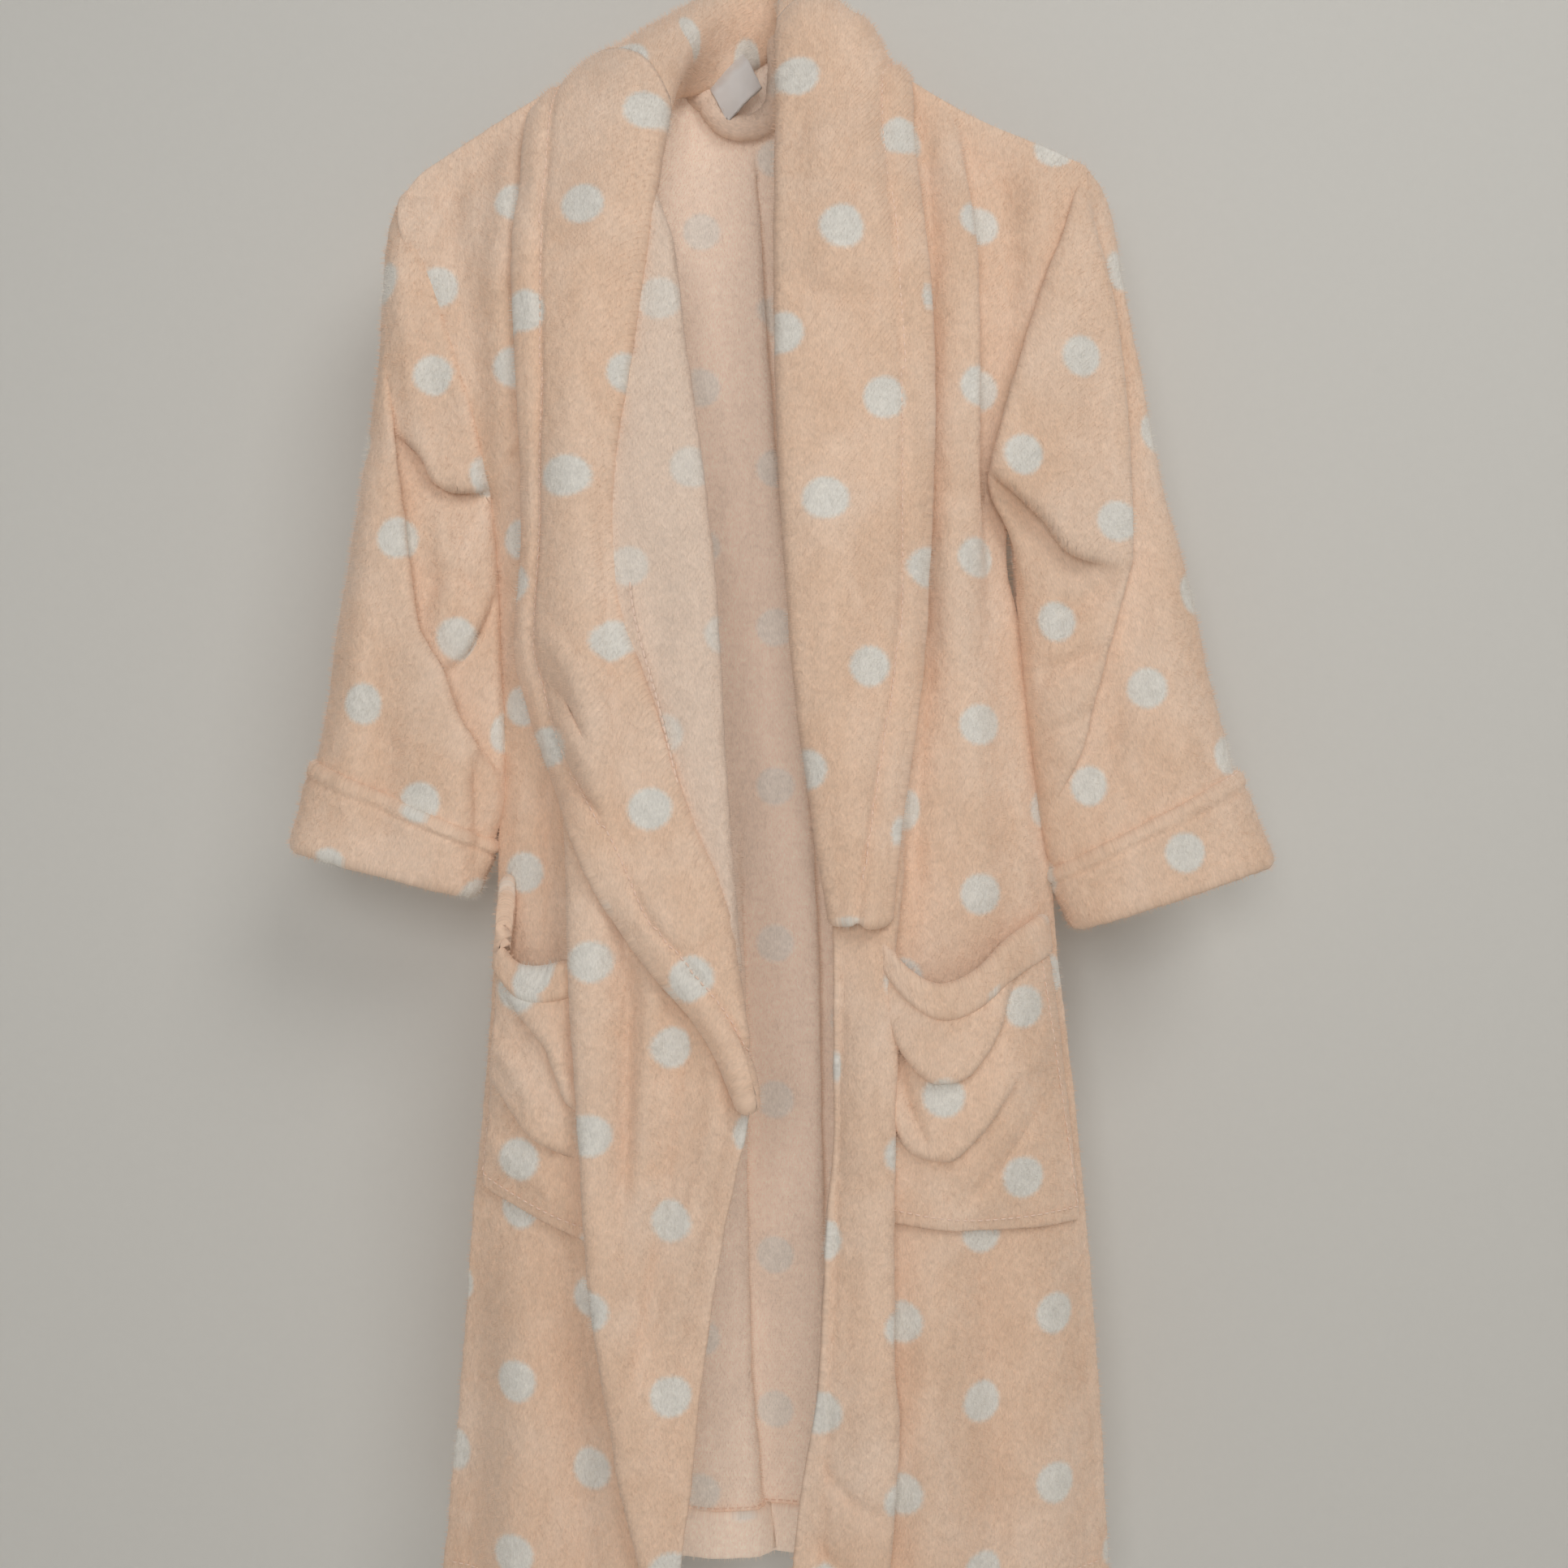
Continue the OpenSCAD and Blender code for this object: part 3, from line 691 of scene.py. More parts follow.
lapel_outer = {
    LEFT: curve((-10, 106), (-76, 109), (-149, 116), (-239, 120), (-318, 118), (-385, 115),
                (-448, 107), (-500, 99), (-540, 94), (-568, 91)),
    RIGHT: curve((-59, -137), (-130, -143), (-239, -140), (-318, -139), (-390, -144),
                 (-442, -131), (-499, -109), (-551, -86), (-592, -58), (-628, -27),
                 (-654, -11), (-686, 2)),
}
lapel_inner = {
    LEFT: curve((-10, 28), (-70, 27), (-133, 26), (-239, 28), (-395, 37), (-473, 46),
                (-551, 58), (-568, 61)),
    RIGHT: curve((-59, -57), (-95, -59), (-133, -64), (-197, -74), (-292, -87), (-354, -84),
                 (-437, -58), (-515, -32), (-561, -12), (-600, -6), (-650, 2), (-686, 6)),
}
LAPEL_FOLDS = {
    LEFT: [
        (ridge, "down", [(-40, 74), (-90, 80), (-130, 84)], 4, 9),
        (ridge, "along", [(36, -160), (66, -172), (98, -166)], -3.5, 12),
        (ridge, "along", [(56, -96), (76, -104), (98, -98)], -3, 10),
        (ridge, "down", [(-20, 58), (-100, 56), (-160, 58)], 4, 16),
        (ridge, "down", [(-200, 74), (-300, 80), (-440, 80)], -4, 14),
        (ridge, "down", [(-280, 52), (-420, 58), (-520, 70)], 4, 14),
    ],
    RIGHT: [
        # the part beyond this fold lies further back
        (step_fold, "down", [(-290, -96), (-380, -92), (-450, -88), (-500, -84), (-550, -74)],
         6, 5, 26, 5),
        (ridge, "along", [(-128, -382), (-112, -398), (-98, -424)], 4, 9),
        (ridge, "along", [(-128, -412), (-112, -424), (-98, -450)], -4, 7),
        (ridge, "along", [(-122, -440), (-106, -452), (-92, -474)], 4, 9),
        (ridge, "along", [(-112, -478), (-98, -488), (-84, -504)], -3, 8),
        (ridge, "along", [(-40, -592), (-24, -584), (-8, -572)], -2.4, 5),
        (ridge, "down", [(-100, -86), (-200, -104), (-320, -112)], 4, 16),
    ],
}
# The neck part: neck seam, inner roll, crown, middle of the fall and outer edge, from the right
# lapel round the back of the neck to the left lapel.
NECK_STATIONS = [
    ((-62, -6, -46), (-51, -20, -34), (-72, -27, -26), (-104, -22, -30), (-138, -12, -44)),
    ((-58, 8, -24), (-44, -4, -2), (-62, -6, 12), (-98, 2, 2), (-129, 14, -22)),
    ((-48, 28, -6), (-34, 14, 24), (-52, 22, 36), (-84, 36, 14), (-112, 50, -18)),
    ((-26, 46, 6), (-20, 32, 46), (-34, 44, 56), (-58, 64, 30), (-80, 80, -16)),
    ((4, 55, 24), (6, 44, 64), (0, 60, 70), (-8, 82, 40), (-10, 95, -18)),
    ((28, 50, 36), (26, 36, 64), (40, 48, 68), (58, 66, 42), (68, 84, -12)),
    ((44, 34, 32), (29, 12, 46), (52, 14, 52), (82, 24, 30), (104, 36, -6)),
    ((54, 6, 14), (26, -8, 20), (48, -16, 26), (78, -12, 16), (107, -4, -12)),
]
GROOVE = 17.0          # distance of the topstitched groove from the outer edge


def lapel_station(side, z):
    """The same five points at one height of a lapel, lying on the front."""
    inner, outer = float(lapel_inner[side](z)), float(lapel_outer[side](z))
    lift = LAYER / 2 + DOUBLE / 2 + 1
    share_across = np.array([0, 0.2, 0.55, 1.0])
    x = mix(inner, outer, share_across)
    y = front_y(x, np.full(4, float(z)), side) - lift
    rolled = [(inner + side * 9, y[0] + 13, z)]
    bulge = (0, 4, 5, 0)
    return tuple(rolled + [(x[i], y[i] - bulge[i], z) for i in range(4)])


def collar_grid():
    """Rows from the lower end of the right lapel, round the neck, to the left one's end."""
    right = [lapel_station(RIGHT, z) for z in np.linspace(-684, -92, 22)]
    left = [lapel_station(LEFT, z) for z in np.linspace(-48, -567, 20)]
    stations = np.array(right + NECK_STATIONS + left, float)
    count = 420
    guides = np.stack([through(stations[:, k], count) for k in range(5)], axis=1)
    rows = np.array([through(points, 40) for points in guides])
    reach = np.linalg.norm(np.diff(rows, axis=1), axis=2)
    from_edge = np.cumsum(reach[:, ::-1], axis=1)[:, ::-1]
    from_edge = np.concatenate([from_edge, np.zeros((count, 1))], axis=1)
    calm = ease((from_edge - GROOVE * 0.6) / GROOVE) * (rows[..., 1] < 20)
    for side, there in ((RIGHT, rows[..., 0] < 8), (LEFT, rows[..., 0] > 16)):
        x, z = rows[..., 0], rows[..., 2]
        rows[..., 1] -= apply_folds(x, z, LAPEL_FOLDS[side]) * there * calm
    return rows, from_edge


# ---- sleeves ---------------------------------------------------------------------------------

SLEEVE = {
    LEFT: dict(outer=[(229, -71), (243, -96), (256, -169), (267, -227), (278, -285), (297, -355),
                      (310, -416), (330, -486), (347, -532)],
               inner=[(176, -288), (183, -330), (189, -409), (194, -460), (202, -517),
                      (212, -547), (226, -572)]),
    RIGHT: dict(outer=[(-229, -93), (-236, -120), (-240, -200), (-251, -281), (-266, -370),
                       (-275, -434), (-283, -472), (-294, -522)],
                inner=[(-170, -288), (-166, -330), (-163, -390), (-160, -460), (-161, -496),
                       (-169, -520), (-183, -551)]),
}
ARMHOLE_DEPTH, SLEEVE_DEPTH = 19.6, 28.0       # half the sleeve, front to back
SLEEVE_LEAN = 12         # degrees that the sleeve's dots lean with it
CUFF_AT = 0.885          # share of the sleeve at which the cuff starts
CUFF_LENGTH = 54
SLEEVE_FOLDS = {
    LEFT: [
        (step_fold, "down", [(-96, 227), (-146, 238), (-190, 245), (-251, 250), (-328, 252),
                             (-375, 241), (-421, 229), (-456, 221), (-500, 202)], 8, 10, 40, 6),
        # the flap over the armpit
        (step_fold, "along", [(140, -262), (159, -274), (178, -288), (200, -309), (214, -328),
                              (236, -338)], -10, -11, 26, 6),
        (ridge, "along", [(206, -368), (224, -364), (240, -352)], -6, 8),
        (ridge, "along", [(196, -409), (212, -404), (230, -394)], -6, 8),
        (ridge, "along", [(194, -452), (208, -446), (222, -434)], -4, 8),
        (ridge, "down", [(-420, 248), (-460, 242), (-510, 230)], -4, 9),
        (ridge, "down", [(-150, 212), (-230, 208), (-290, 206)], 5, 16),
        (ridge, "down", [(-300, 276), (-400, 282), (-500, 290)], 5, 15),
    ],
    RIGHT: [
        (step_fold, "down", [(-205, -236), (-253, -231), (-337, -220), (-378, -214),
                             (-407, -199), (-439, -187), (-458, -175), (-480, -160)],
         8, 12, 44, 6),
        (step_fold, "along", [(-220, -252), (-207, -268), (-202, -280), (-187, -287),
                              (-160, -285)], -10, -9, 26, 5),
        (step_fold, "down", [(-325, -158), (-350, -164), (-368, -170), (-391, -181),
                             (-406, -192)], 5, 8, 26, 4.5),
        (ridge, "along", [(-206, -352), (-190, -346), (-174, -350)], -5, 8),
        (ridge, "down", [(-300, -198), (-350, -192), (-380, -196)], 5, 8),
        (ridge, "down", [(-440, -232), (-480, -232), (-520, -238)], -5, 12),
        (step_fold, "down", [(-460, -180), (-502, -179), (-560, -184)], 5, 6, 26, 4.5),
        (ridge, "down", [(-130, -226), (-180, -222), (-240, -214)], 5, 10),
        (ridge, "down", [(-280, -244), (-380, -250), (-480, -262)], 5, 13),
    ],
}
ARMHOLE_OVERLAP = {LEFT: 24.0, RIGHT: 2.0}     # how far the sleeve's front laps over the body
ARMHOLE_LIFT = {LEFT: 17.0, RIGHT: 5.0}


def smooth_2d(points, count):
    flat = [(p[0], 0.0, p[1]) for p in points]
    return through(flat, count)[:, [0, 2]]


def sleeve_grid(side, start=0.0, end=1.0, grow=0.0, rows=140, cols=160):
    """Rows run around the sleeve and columns along it, from the armhole to the cuff."""
    fine = 400
    outer = smooth_2d(SLEEVE[side]["outer"], fine)
    inner = smooth_2d(SLEEVE[side]["inner"], fine)
    v = mix(start, end, np.linspace(0, 1, cols) ** (1.2 if start == 0 else 1.0))
    at = v * (fine - 1)
    low = np.floor(at).astype(int).clip(0, fine - 2)
    part = (at - low)[:, None]
    out_p = mix(outer[low], outer[low + 1], part)
    in_p = mix(inner[low], inner[low + 1], part)
    v = v[None, :]
    angle = np.linspace(math.pi, 3 * math.pi, rows, endpoint=False)[:, None]
    across, fore = np.cos(angle), np.sin(angle)              # 1 at the outer edge, 1 in front
    centre, half = (out_p + in_p) / 2, (out_p - in_p) / 2
    stretch = 1 + grow / np.linalg.norm(half, axis=1)
    x = centre[:, 0] + half[:, 0] * stretch * across
    z = centre[:, 1] + half[:, 1] * stretch * across
    depth = mix(ARMHOLE_DEPTH, SLEEVE_DEPTH, ease(v * 2.4)) * mix(1.0, 0.84, ease((v - 0.6) * 2.5)) + grow
    y = -depth * np.sign(fore) * np.abs(fore) ** mix(1.0, 0.66, ease(v * 6))
    # meet the armhole edge of the front and the back
    down = (1 - across) / 2
    edge_z = mix(TIP_Z[side], ARMPIT_Z, down)
    meet = 1 - ease(v / 0.14)
    x = x + (side_x[side](edge_z) - mix(outer[0, 0], inner[0, 0], down)) * meet
    z = z + (edge_z - mix(outer[0, 1], inner[0, 1], down)) * meet
    # the front of the sleeve laps over the armhole seam, more so towards the armpit
    t = v / 0.05
    swell = t * np.exp(1 - t) * ease(fore * 1.6) * (1 - 0.25 * across ** 2)
    lap = mix(0.55, 1.0, down) * ease((across + 1.02) * 7)
    x = x - side * ARMHOLE_OVERLAP[side] * swell * lap
    y = y - ARMHOLE_LIFT[side] * swell * lap
    front = ease(fore * 2.2)
    body = ease((v - 0.005) * 14)
    held = front * body * (1 - np.abs(across) ** 7)
    lap_x, lap_z = fold_laps(x, z, SLEEVE_FOLDS[side], 1.6)
    y = y - apply_folds(x, z, SLEEVE_FOLDS[side]) * held
    x = x + lap_x * held * (1 - ease((v - 0.84) * 12))
    z = z + lap_z * held * (1 - ease((v - 0.84) * 12))
    behind = ease(-fore * 2.2) * ease(v * 5)
    y = y + 4.5 * behind * np.cos((across * 2.2 + v * 3.2) * math.pi)
    y = y + 1.6 * np.sin(z / 23 + across * 3) * behind
    return np.stack([x, y, z], axis=-1)


def tube_uv(grid, lean):
    """Metres on a sleeve as it lies flat. The back mirrors the front about the outer edge."""
    ring = np.concatenate([grid, grid[:1]])
    turn = math.radians(lean)
    u = ring[..., 0] * math.cos(turn) + ring[..., 2] * math.sin(turn)
    v = ring[..., 0] * math.sin(turn) - ring[..., 2] * math.cos(turn)
    outer = len(grid) // 2
    angle = np.linspace(0, 2 * math.pi, len(ring))[:, None]
    edge_arc = 18
    round_edge = edge_arc * np.abs(np.sin(angle)) ** 0.66
    round_edge = np.where(np.cos(angle) < 0, round_edge, 2 * edge_arc - round_edge)
    side = np.sign(lean)
    u = u - side * round_edge
    u[:outer] = 2 * u[outer] - u[:outer]
    return np.stack([u, v], axis=-1) / 1000


# ---- pockets ---------------------------------------------------------------------------------

POCKET = {
    LEFT: dict(mouth=[(88, -570), (96, -590), (110, -606), (128, -614), (150, -606),
                      (174, -586), (198, -573)],
               base=[(86, -760), (110, -764), (150, -768), (228, -768)], least=106),
    RIGHT: dict(mouth=[(-168, -548), (-165, -568), (-158, -588), (-147, -602), (-132, -605),
                       (-112, -600), (-90, -590)],
                base=[(-180, -738), (-166, -748), (-142, -758), (-94, -780)], least=-116),
}
POCKET_FOLDS = {
    LEFT: [
        (step_fold, "along", [(86, -614), (93, -627), (101, -646), (112, -661), (126, -670),
                              (138, -669), (154, -655), (165, -635), (174, -606), (182, -590)],
         -6, -9, 22, 6),
        (step_fold, "along", [(84, -676), (98, -698), (112, -717), (132, -721), (152, -704),
                              (178, -668)], -5, -7, 20, 6),
        (ridge, "down", [(-652, 101), (-680, 106), (-708, 118)], -4, 5),
        (ridge, "along", [(140, -752), (158, -738), (176, -716), (196, -690)], -3, 8),
        (ridge, "along", [(150, -700), (176, -676), (200, -650)], 3, 14),
    ],
    RIGHT: [
        (step_fold, "along", [(-150, -622), (-141, -632), (-125, -650), (-117, -670),
                              (-110, -687), (-96, -696)], -6, -9, 22, 6),
        (step_fold, "along", [(-176, -664), (-168, -671), (-155, -684), (-141, -703),
                              (-128, -713), (-104, -722)], -5, -7, 20, 6),
        (ridge, "along", [(-170, -640), (-152, -662), (-132, -690)], 4, 10),
        (ridge, "along", [(-172, -712), (-150, -728), (-120, -744)], 3, 10),
    ],
}
GAPE = {LEFT: 15.0, RIGHT: 13.0}
POCKET_INSET = 6.0            # from the side seam


def pocket_grid(side, v0, v1, lift, rows, cols=66):
    shape = POCKET[side]
    top = smooth_2d(shape["mouth"], cols)
    base = smooth_2d(shape["base"], cols)
    v = np.linspace(v0, v1, rows)[:, None]
    x = mix(top[:, 0][None, :], base[:, 0][None, :], v)
    z = mix(top[:, 1][None, :], base[:, 1][None, :], v)
    seam = side_x[side](z) - side * POCKET_INSET
    x = np.minimum(x, seam) if side == LEFT else np.maximum(x, seam)
    u = np.linspace(0, 1, cols)[None, :]
    inside = np.sin(math.pi * u) ** 0.7
    gape = GAPE[side] * inside * (1 - v) ** 1.2
    gape = gape + 7 * inside * np.sin(math.pi * np.clip(v, 0, 1)) ** 0.7
    drape = apply_folds(x, z, POCKET_FOLDS[side]) * ease(u * 12) * ease((1 - u) * 9)
    drape = drape * ease((v - 0.06) * 12) * ease((1 - v) * 9)
    below = shape["least"]
    level = np.maximum(x, below) if side == LEFT else np.minimum(x, below)
    lap_x, lap_z = fold_laps(x, z, POCKET_FOLDS[side], 1.2)
    calm = ease(u * 8) * ease((1 - u) * 8) * ease((v - 0.1) * 9) * ease((1 - v) * 7)
    y = front_y(level, z, side) - lift - gape - drape
    return np.stack([x + lap_x * calm, y, z + lap_z * calm], axis=-1)


# ---- putting a piece on its body ---------------------------------------------------------------


def bend(obj):
    """Bakes a piece's placement into its mesh."""
    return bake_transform(obj)


def front_blend(obj, side):
    """Bakes a front piece's placement into its mesh."""
    return bend(obj)


def arm_blend(obj, side):
    """Bakes a sleeve piece's placement into its mesh."""
    return bend(obj)


def plush(obj):
    """Short soft pile that stands on the cloth, in the colour of the cloth below it."""
    area = sum(p.area for p in obj.data.polygons)
    obj.modifiers.new("pile", "PARTICLE_SYSTEM")
    system = obj.particle_systems[0]
    system.seed = 7
    hair = system.settings
    hair.type = "HAIR"
    hair.count = int(area * PILE_PER_SQUARE_METRE)
    hair.hair_step = 2
    hair.render_step = 2
    hair.hair_length = PILE_LENGTH
    hair.length_random = 0.6
    hair.emit_from = "FACE"
    hair.root_radius = 1.0
    hair.tip_radius = 0.3
    hair.radius_scale = PILE_WIDTH
    hair.roughness_2 = 0.0016
    hair.roughness_2_size = 0.004
    hair.roughness_endpoint = 0.0015
    hair.material = 1


def finish_piece(obj, slot, place, *nodes):
    if slot.startswith("fleece"):
        plush(obj)
    if nodes:
        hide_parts(*nodes)
    if isinstance(place, str):
        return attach(obj, place)
    kind, side = place
    return kind(obj, side)


def stitches(name, points, normals, material, length=3.6, gap=1.6, width=1.1, sink=0.2):
    """A row of thread: short rounded stitches laid along a line of points (millimetres)."""
    points, normals = np.asarray(points), np.asarray(normals)
    run = np.concatenate([[0], np.cumsum(np.linalg.norm(np.diff(points, axis=0), axis=1))])
    starts = np.arange(0, run[-1] - length, length + gap)
    verts, faces = [], []
    sides, rings = 6, (0.0, 0.12, 0.5, 0.88, 1.0)
    radius = (0.25, 0.8, 1.0, 0.8, 0.25)

    def at(distance, table):
        return np.array([np.interp(distance, run, table[:, k]) for k in range(3)])

    for start in starts:
        base = len(verts)
        for t, r in zip(rings, radius):
            here = at(start + t * length, points)
            up = unit(at(start + t * length, normals))
            ahead = unit(at(min(start + t * length + 1, run[-1]), points) - at(start, points))
            beside = unit(np.cross(ahead, up))
            middle = here + up * (width * (0.3 + 0.5 * math.sin(math.pi * t)) - sink)
            for k in range(sides):
                a = 2 * math.pi * k / sides
                verts.append(middle + (beside * math.cos(a) + up * math.sin(a)) * width / 2 * r)
        for i in range(len(rings) - 1):
            for k in range(sides):
                n = (k + 1) % sides
                faces.append((base + i * sides + k, base + i * sides + n,
                              base + (i + 1) * sides + n, base + (i + 1) * sides + k))
        faces.append(tuple(base + k for k in range(sides)))
        faces.append(tuple(base + (len(rings) - 1) * sides + k for k in range(sides)))
    return mesh_object(name, to_frame(np.array(verts)), faces, [material])


# ---- building ----------------------------------------------------------------------------------

THREAD = thread_material()
OUT = (0, -1, 0)
INWARD = (0, 1, 0)
TURNED_LIFT = 6.2         # from the middle of a layer to the middle of the one turned over it
TURNED = LAYER + 1.5      # thickness of a turned hem
THREAD_LIFT = 3           # from the middle of a layer to the thread on it
HEM_ROWS = 7              # grid rows that a turned hem covers
HEM_THREAD_ROW = -8       # the grid row just above it
PALE_DOTS = 0.75          # strength of the dots on the inside of the cloth


def build_body():
    # The back's inside carries painted light: a lighter peach and a faint glow, where the deep inside
    # renders dark.
    inside = fleece("back_inside", (30, 12), 0, PAINTED_LIGHT_INSIDE_PEACH, PALE_DOTS, glow=0.11)
    outside = fleece("back_outside", (30, 12))
    grid = back_grid()
    back = solid("back_body", grid, LAYER, [outside, inside], INWARD,
                 uv=flat_uv(grid, back_y(grid[..., 0], grid[..., 2], False)))
    finish_piece(back, "fleece", "torso", "back_panel")
    normal = grid_normals(grid, OUT)
    hem = solid("back_turned_hem", (grid + normal * TURNED_LIFT)[-HEM_ROWS:, 3:-3], TURNED,
                [inside, inside], OUT)
    finish_piece(hem, "fleece_inside", "torso", "back_hem")
    row = (grid + normal * THREAD_LIFT)[HEM_THREAD_ROW, 3:-3]
    thread = stitches("back_hem_thread", row, normal[HEM_THREAD_ROW, 3:-3], THREAD)
    finish_piece(thread, "thread", "torso", "back_hem_stitch")
    phase = {LEFT: (0, 52), RIGHT: (44, 10)}
    for side in (LEFT, RIGHT):
        name = SIDE_NAME[side]
        outside = fleece(name + "_front_fleece", phase[side])
        inside = fleece(name + "_front_inside", phase[side], 0, PALE_PEACH, PALE_DOTS)
        grid = front_grid(side)
        panel = solid(name + "_front", grid, LAYER, [outside, inside], OUT,
                      uv=flat_uv(grid, front_y(grid[..., 0], grid[..., 2], side, False)))
        finish_piece(panel, "fleece", (front_blend, side), name + "_front_panel")
        normal = grid_normals(grid, OUT)
        hem = solid(name + "_front_turned_hem", (grid - normal * TURNED_LIFT)[-HEM_ROWS:, 1:-3],
                    TURNED, [inside, inside], INWARD)
        finish_piece(hem, "fleece_inside", (front_blend, side), name + "_front_hem")
        row = (grid + normal * THREAD_LIFT)[HEM_THREAD_ROW, 1:-2]
        thread = stitches(name + "_hem_thread", row, normal[HEM_THREAD_ROW, 1:-2], THREAD)
        finish_piece(thread, "thread", (front_blend, side), name + "_hem_stitch")


def build_collar():
    grid, edge = collar_grid()
    normal = grid_normals(grid, OUT)

    def nearest(point):
        return int(np.argmin(np.linalg.norm(grid - np.array(point), axis=2).min(axis=1)))

    first, last = nearest(NECK_STATIONS[0][1]), nearest(NECK_STATIONS[-1][1])
    thickness = DOUBLE + 3.5 * bell(edge, 7, 7) - 5.5 * bell(edge, GROOVE, 3.2)
    flat = flat_uv(grid)
    around = fabric_uv(grid)
    pieces = {
        "right_lapel_band": (0, first, ("round", "flat"), (front_blend, RIGHT), ["right_lapel"],
                             (20, 26), 14),
        "neck_collar_roll": (first, last, ("flat", "flat"), "torso", ["neck_collar"], (20, 26), 14),
        "left_lapel_band": (last, len(grid) - 1, ("flat", "round"), (front_blend, LEFT),
                            ["left_lapel"], (20, 26), 14),
    }
    for name, (a, b, ends, place, nodes, phase, turn) in pieces.items():
        rows = slice(a, b + 1)
        uv = around if nodes == ["neck_collar"] else flat
        cloth = fleece(name + "_fleece", phase, turn)
        band = solid(name, grid[rows], thickness[rows], [cloth, cloth], OUT, ends=ends,
                     uv=uv[rows], normal=normal[rows])
        finish_piece(band, "fleece", place, *nodes)
    return grid, normal, edge, (first, last)


def build_sleeves():
    for side, phase in ((LEFT, (0, 30)), (RIGHT, (84, 24))):
        name = SIDE_NAME[side]
        cloth = fleece(name + "_sleeve_fleece", phase)
        inside = fleece(name + "_sleeve_inside", phase, 0, PALE_PEACH, PALE_DOTS)
        place = (arm_blend, side)
        grid = sleeve_grid(side, 0.0, CUFF_AT)
        tube = solid(name + "_sleeve_tube", grid, LAYER, [cloth, inside], outward(grid),
                     around=True, uv=tube_uv(grid, side * SLEEVE_LEAN))
        finish_piece(tube, "fleece", place, name + "_sleeve")
        grid = sleeve_grid(side, CUFF_AT - 0.004, 1.0, 2.0, cols=24)
        t = np.linspace(0, CUFF_LENGTH, grid.shape[1])[None, :]
        thickness = DOUBLE - 1 + 1.2 * bell(t, 2, 3) - 3.6 * bell(t, 8, 2.2) + 2 * bell(t, 50, 10)
        cuff = solid(name + "_turned_cuff", grid, thickness, [cloth, cloth], outward(grid),
                     around=True, uv=tube_uv(grid, side * SLEEVE_LEAN))
        finish_piece(cuff, "fleece", place, name + "_cuff")
        ring = sleeve_grid(side, CUFF_AT - 0.012, CUFF_AT, 3.4, cols=2)[:, 0]
        ring = np.concatenate([ring, ring[:1]])
        normal = unit(ring - ring.mean(axis=0)) * np.array([0.3, 1, 0.3])
        thread = stitches(name + "_cuff_thread", ring, unit(normal), THREAD, width=1.4)
        finish_piece(thread, "thread", place, name + "_cuff_stitch")


def outward(grid):
    """For each point of a tube, the direction away from its axis."""
    return grid - grid.mean(axis=0, keepdims=True)


def build_pockets():
    for side, phase in ((LEFT, (26, 34)), (RIGHT, (40, 44))):
        name = SIDE_NAME[side]
        cloth = fleece(name + "_pocket_fleece", phase)
        inside = fleece(name + "_pocket_inside", phase, 0, PALE_PEACH, PALE_DOTS)
        place = (front_blend, side)
        grid = pocket_grid(side, 0.07, 1.0, LAYER + 1, 74)
        body = solid(name + "_pocket_pouch", grid, LAYER, [cloth, inside], OUT, uv=flat_uv(grid))
        finish_piece(body, "fleece", place, name + "_pocket")
        band_grid = pocket_grid(side, 0.0, 0.085, LAYER + 2.5, 6)
        band = solid(name + "_pocket_mouth", band_grid, DOUBLE, [cloth, cloth], OUT)
        finish_piece(band, "fleece", place, name + "_pocket_band")
        normal = grid_normals(grid, OUT)
        lifted = grid + normal * (LAYER / 2)
        path = np.concatenate([lifted[2:-3, 3], lifted[-4, 3:-3], lifted[2:-3, -4][::-1]])
        ups = np.concatenate([normal[2:-3, 3], normal[-4, 3:-3], normal[2:-3, -4][::-1]])
        thread = stitches(name + "_pocket_thread", path, ups, THREAD)
        finish_piece(thread, "thread", place, name + "_pocket_stitch")


def build_loop():
    """The hanging loop: a folded strip that comes down, round the opening and up again."""
    radius = (LOOP_HIGH[0] - LOOP_LOW[0]) / 2
    opening = 16.0
    middle = (radius + opening) / 2
    behind = (LOOP_LOW[1] + LOOP_HIGH[1]) / 2 - SHOULDER_Y * 1000
    arc = [(middle * math.cos(a), behind, middle * math.sin(a))
           for a in np.linspace(-math.pi * 0.9, 0.02 * math.pi, 26)]
    strip = [(-middle - 22, behind + 9, 14), (-middle - 10, behind + 4, 2)] + arc \
        + [(middle + 1, behind, 18), (middle, behind + 3, 34), (middle - 1, behind + 6, 46)]
    line = through(strip, 120)
    ahead = unit(np.gradient(line, axis=0))
    beside = unit(np.cross(ahead, np.array([0, 1.0, 0])))
    half = (radius - opening) / 2
    cols = np.linspace(-1, 1, 13)
    crown = 2.5 * (1 - cols ** 2)
    grid = line[:, None, :] + beside[:, None, :] * (cols * (half - 3.5))[None, :, None]
    grid[..., 1] -= crown
    cloth = fleece("loop_fleece", (60, 60), 0, PALE_PEACH, 0.5)
    loop = solid("hanging_loop_strip", grid, 8.0, [cloth, cloth], OUT)
    finish_piece(loop, "fleece", "loop", "hanging_loop")


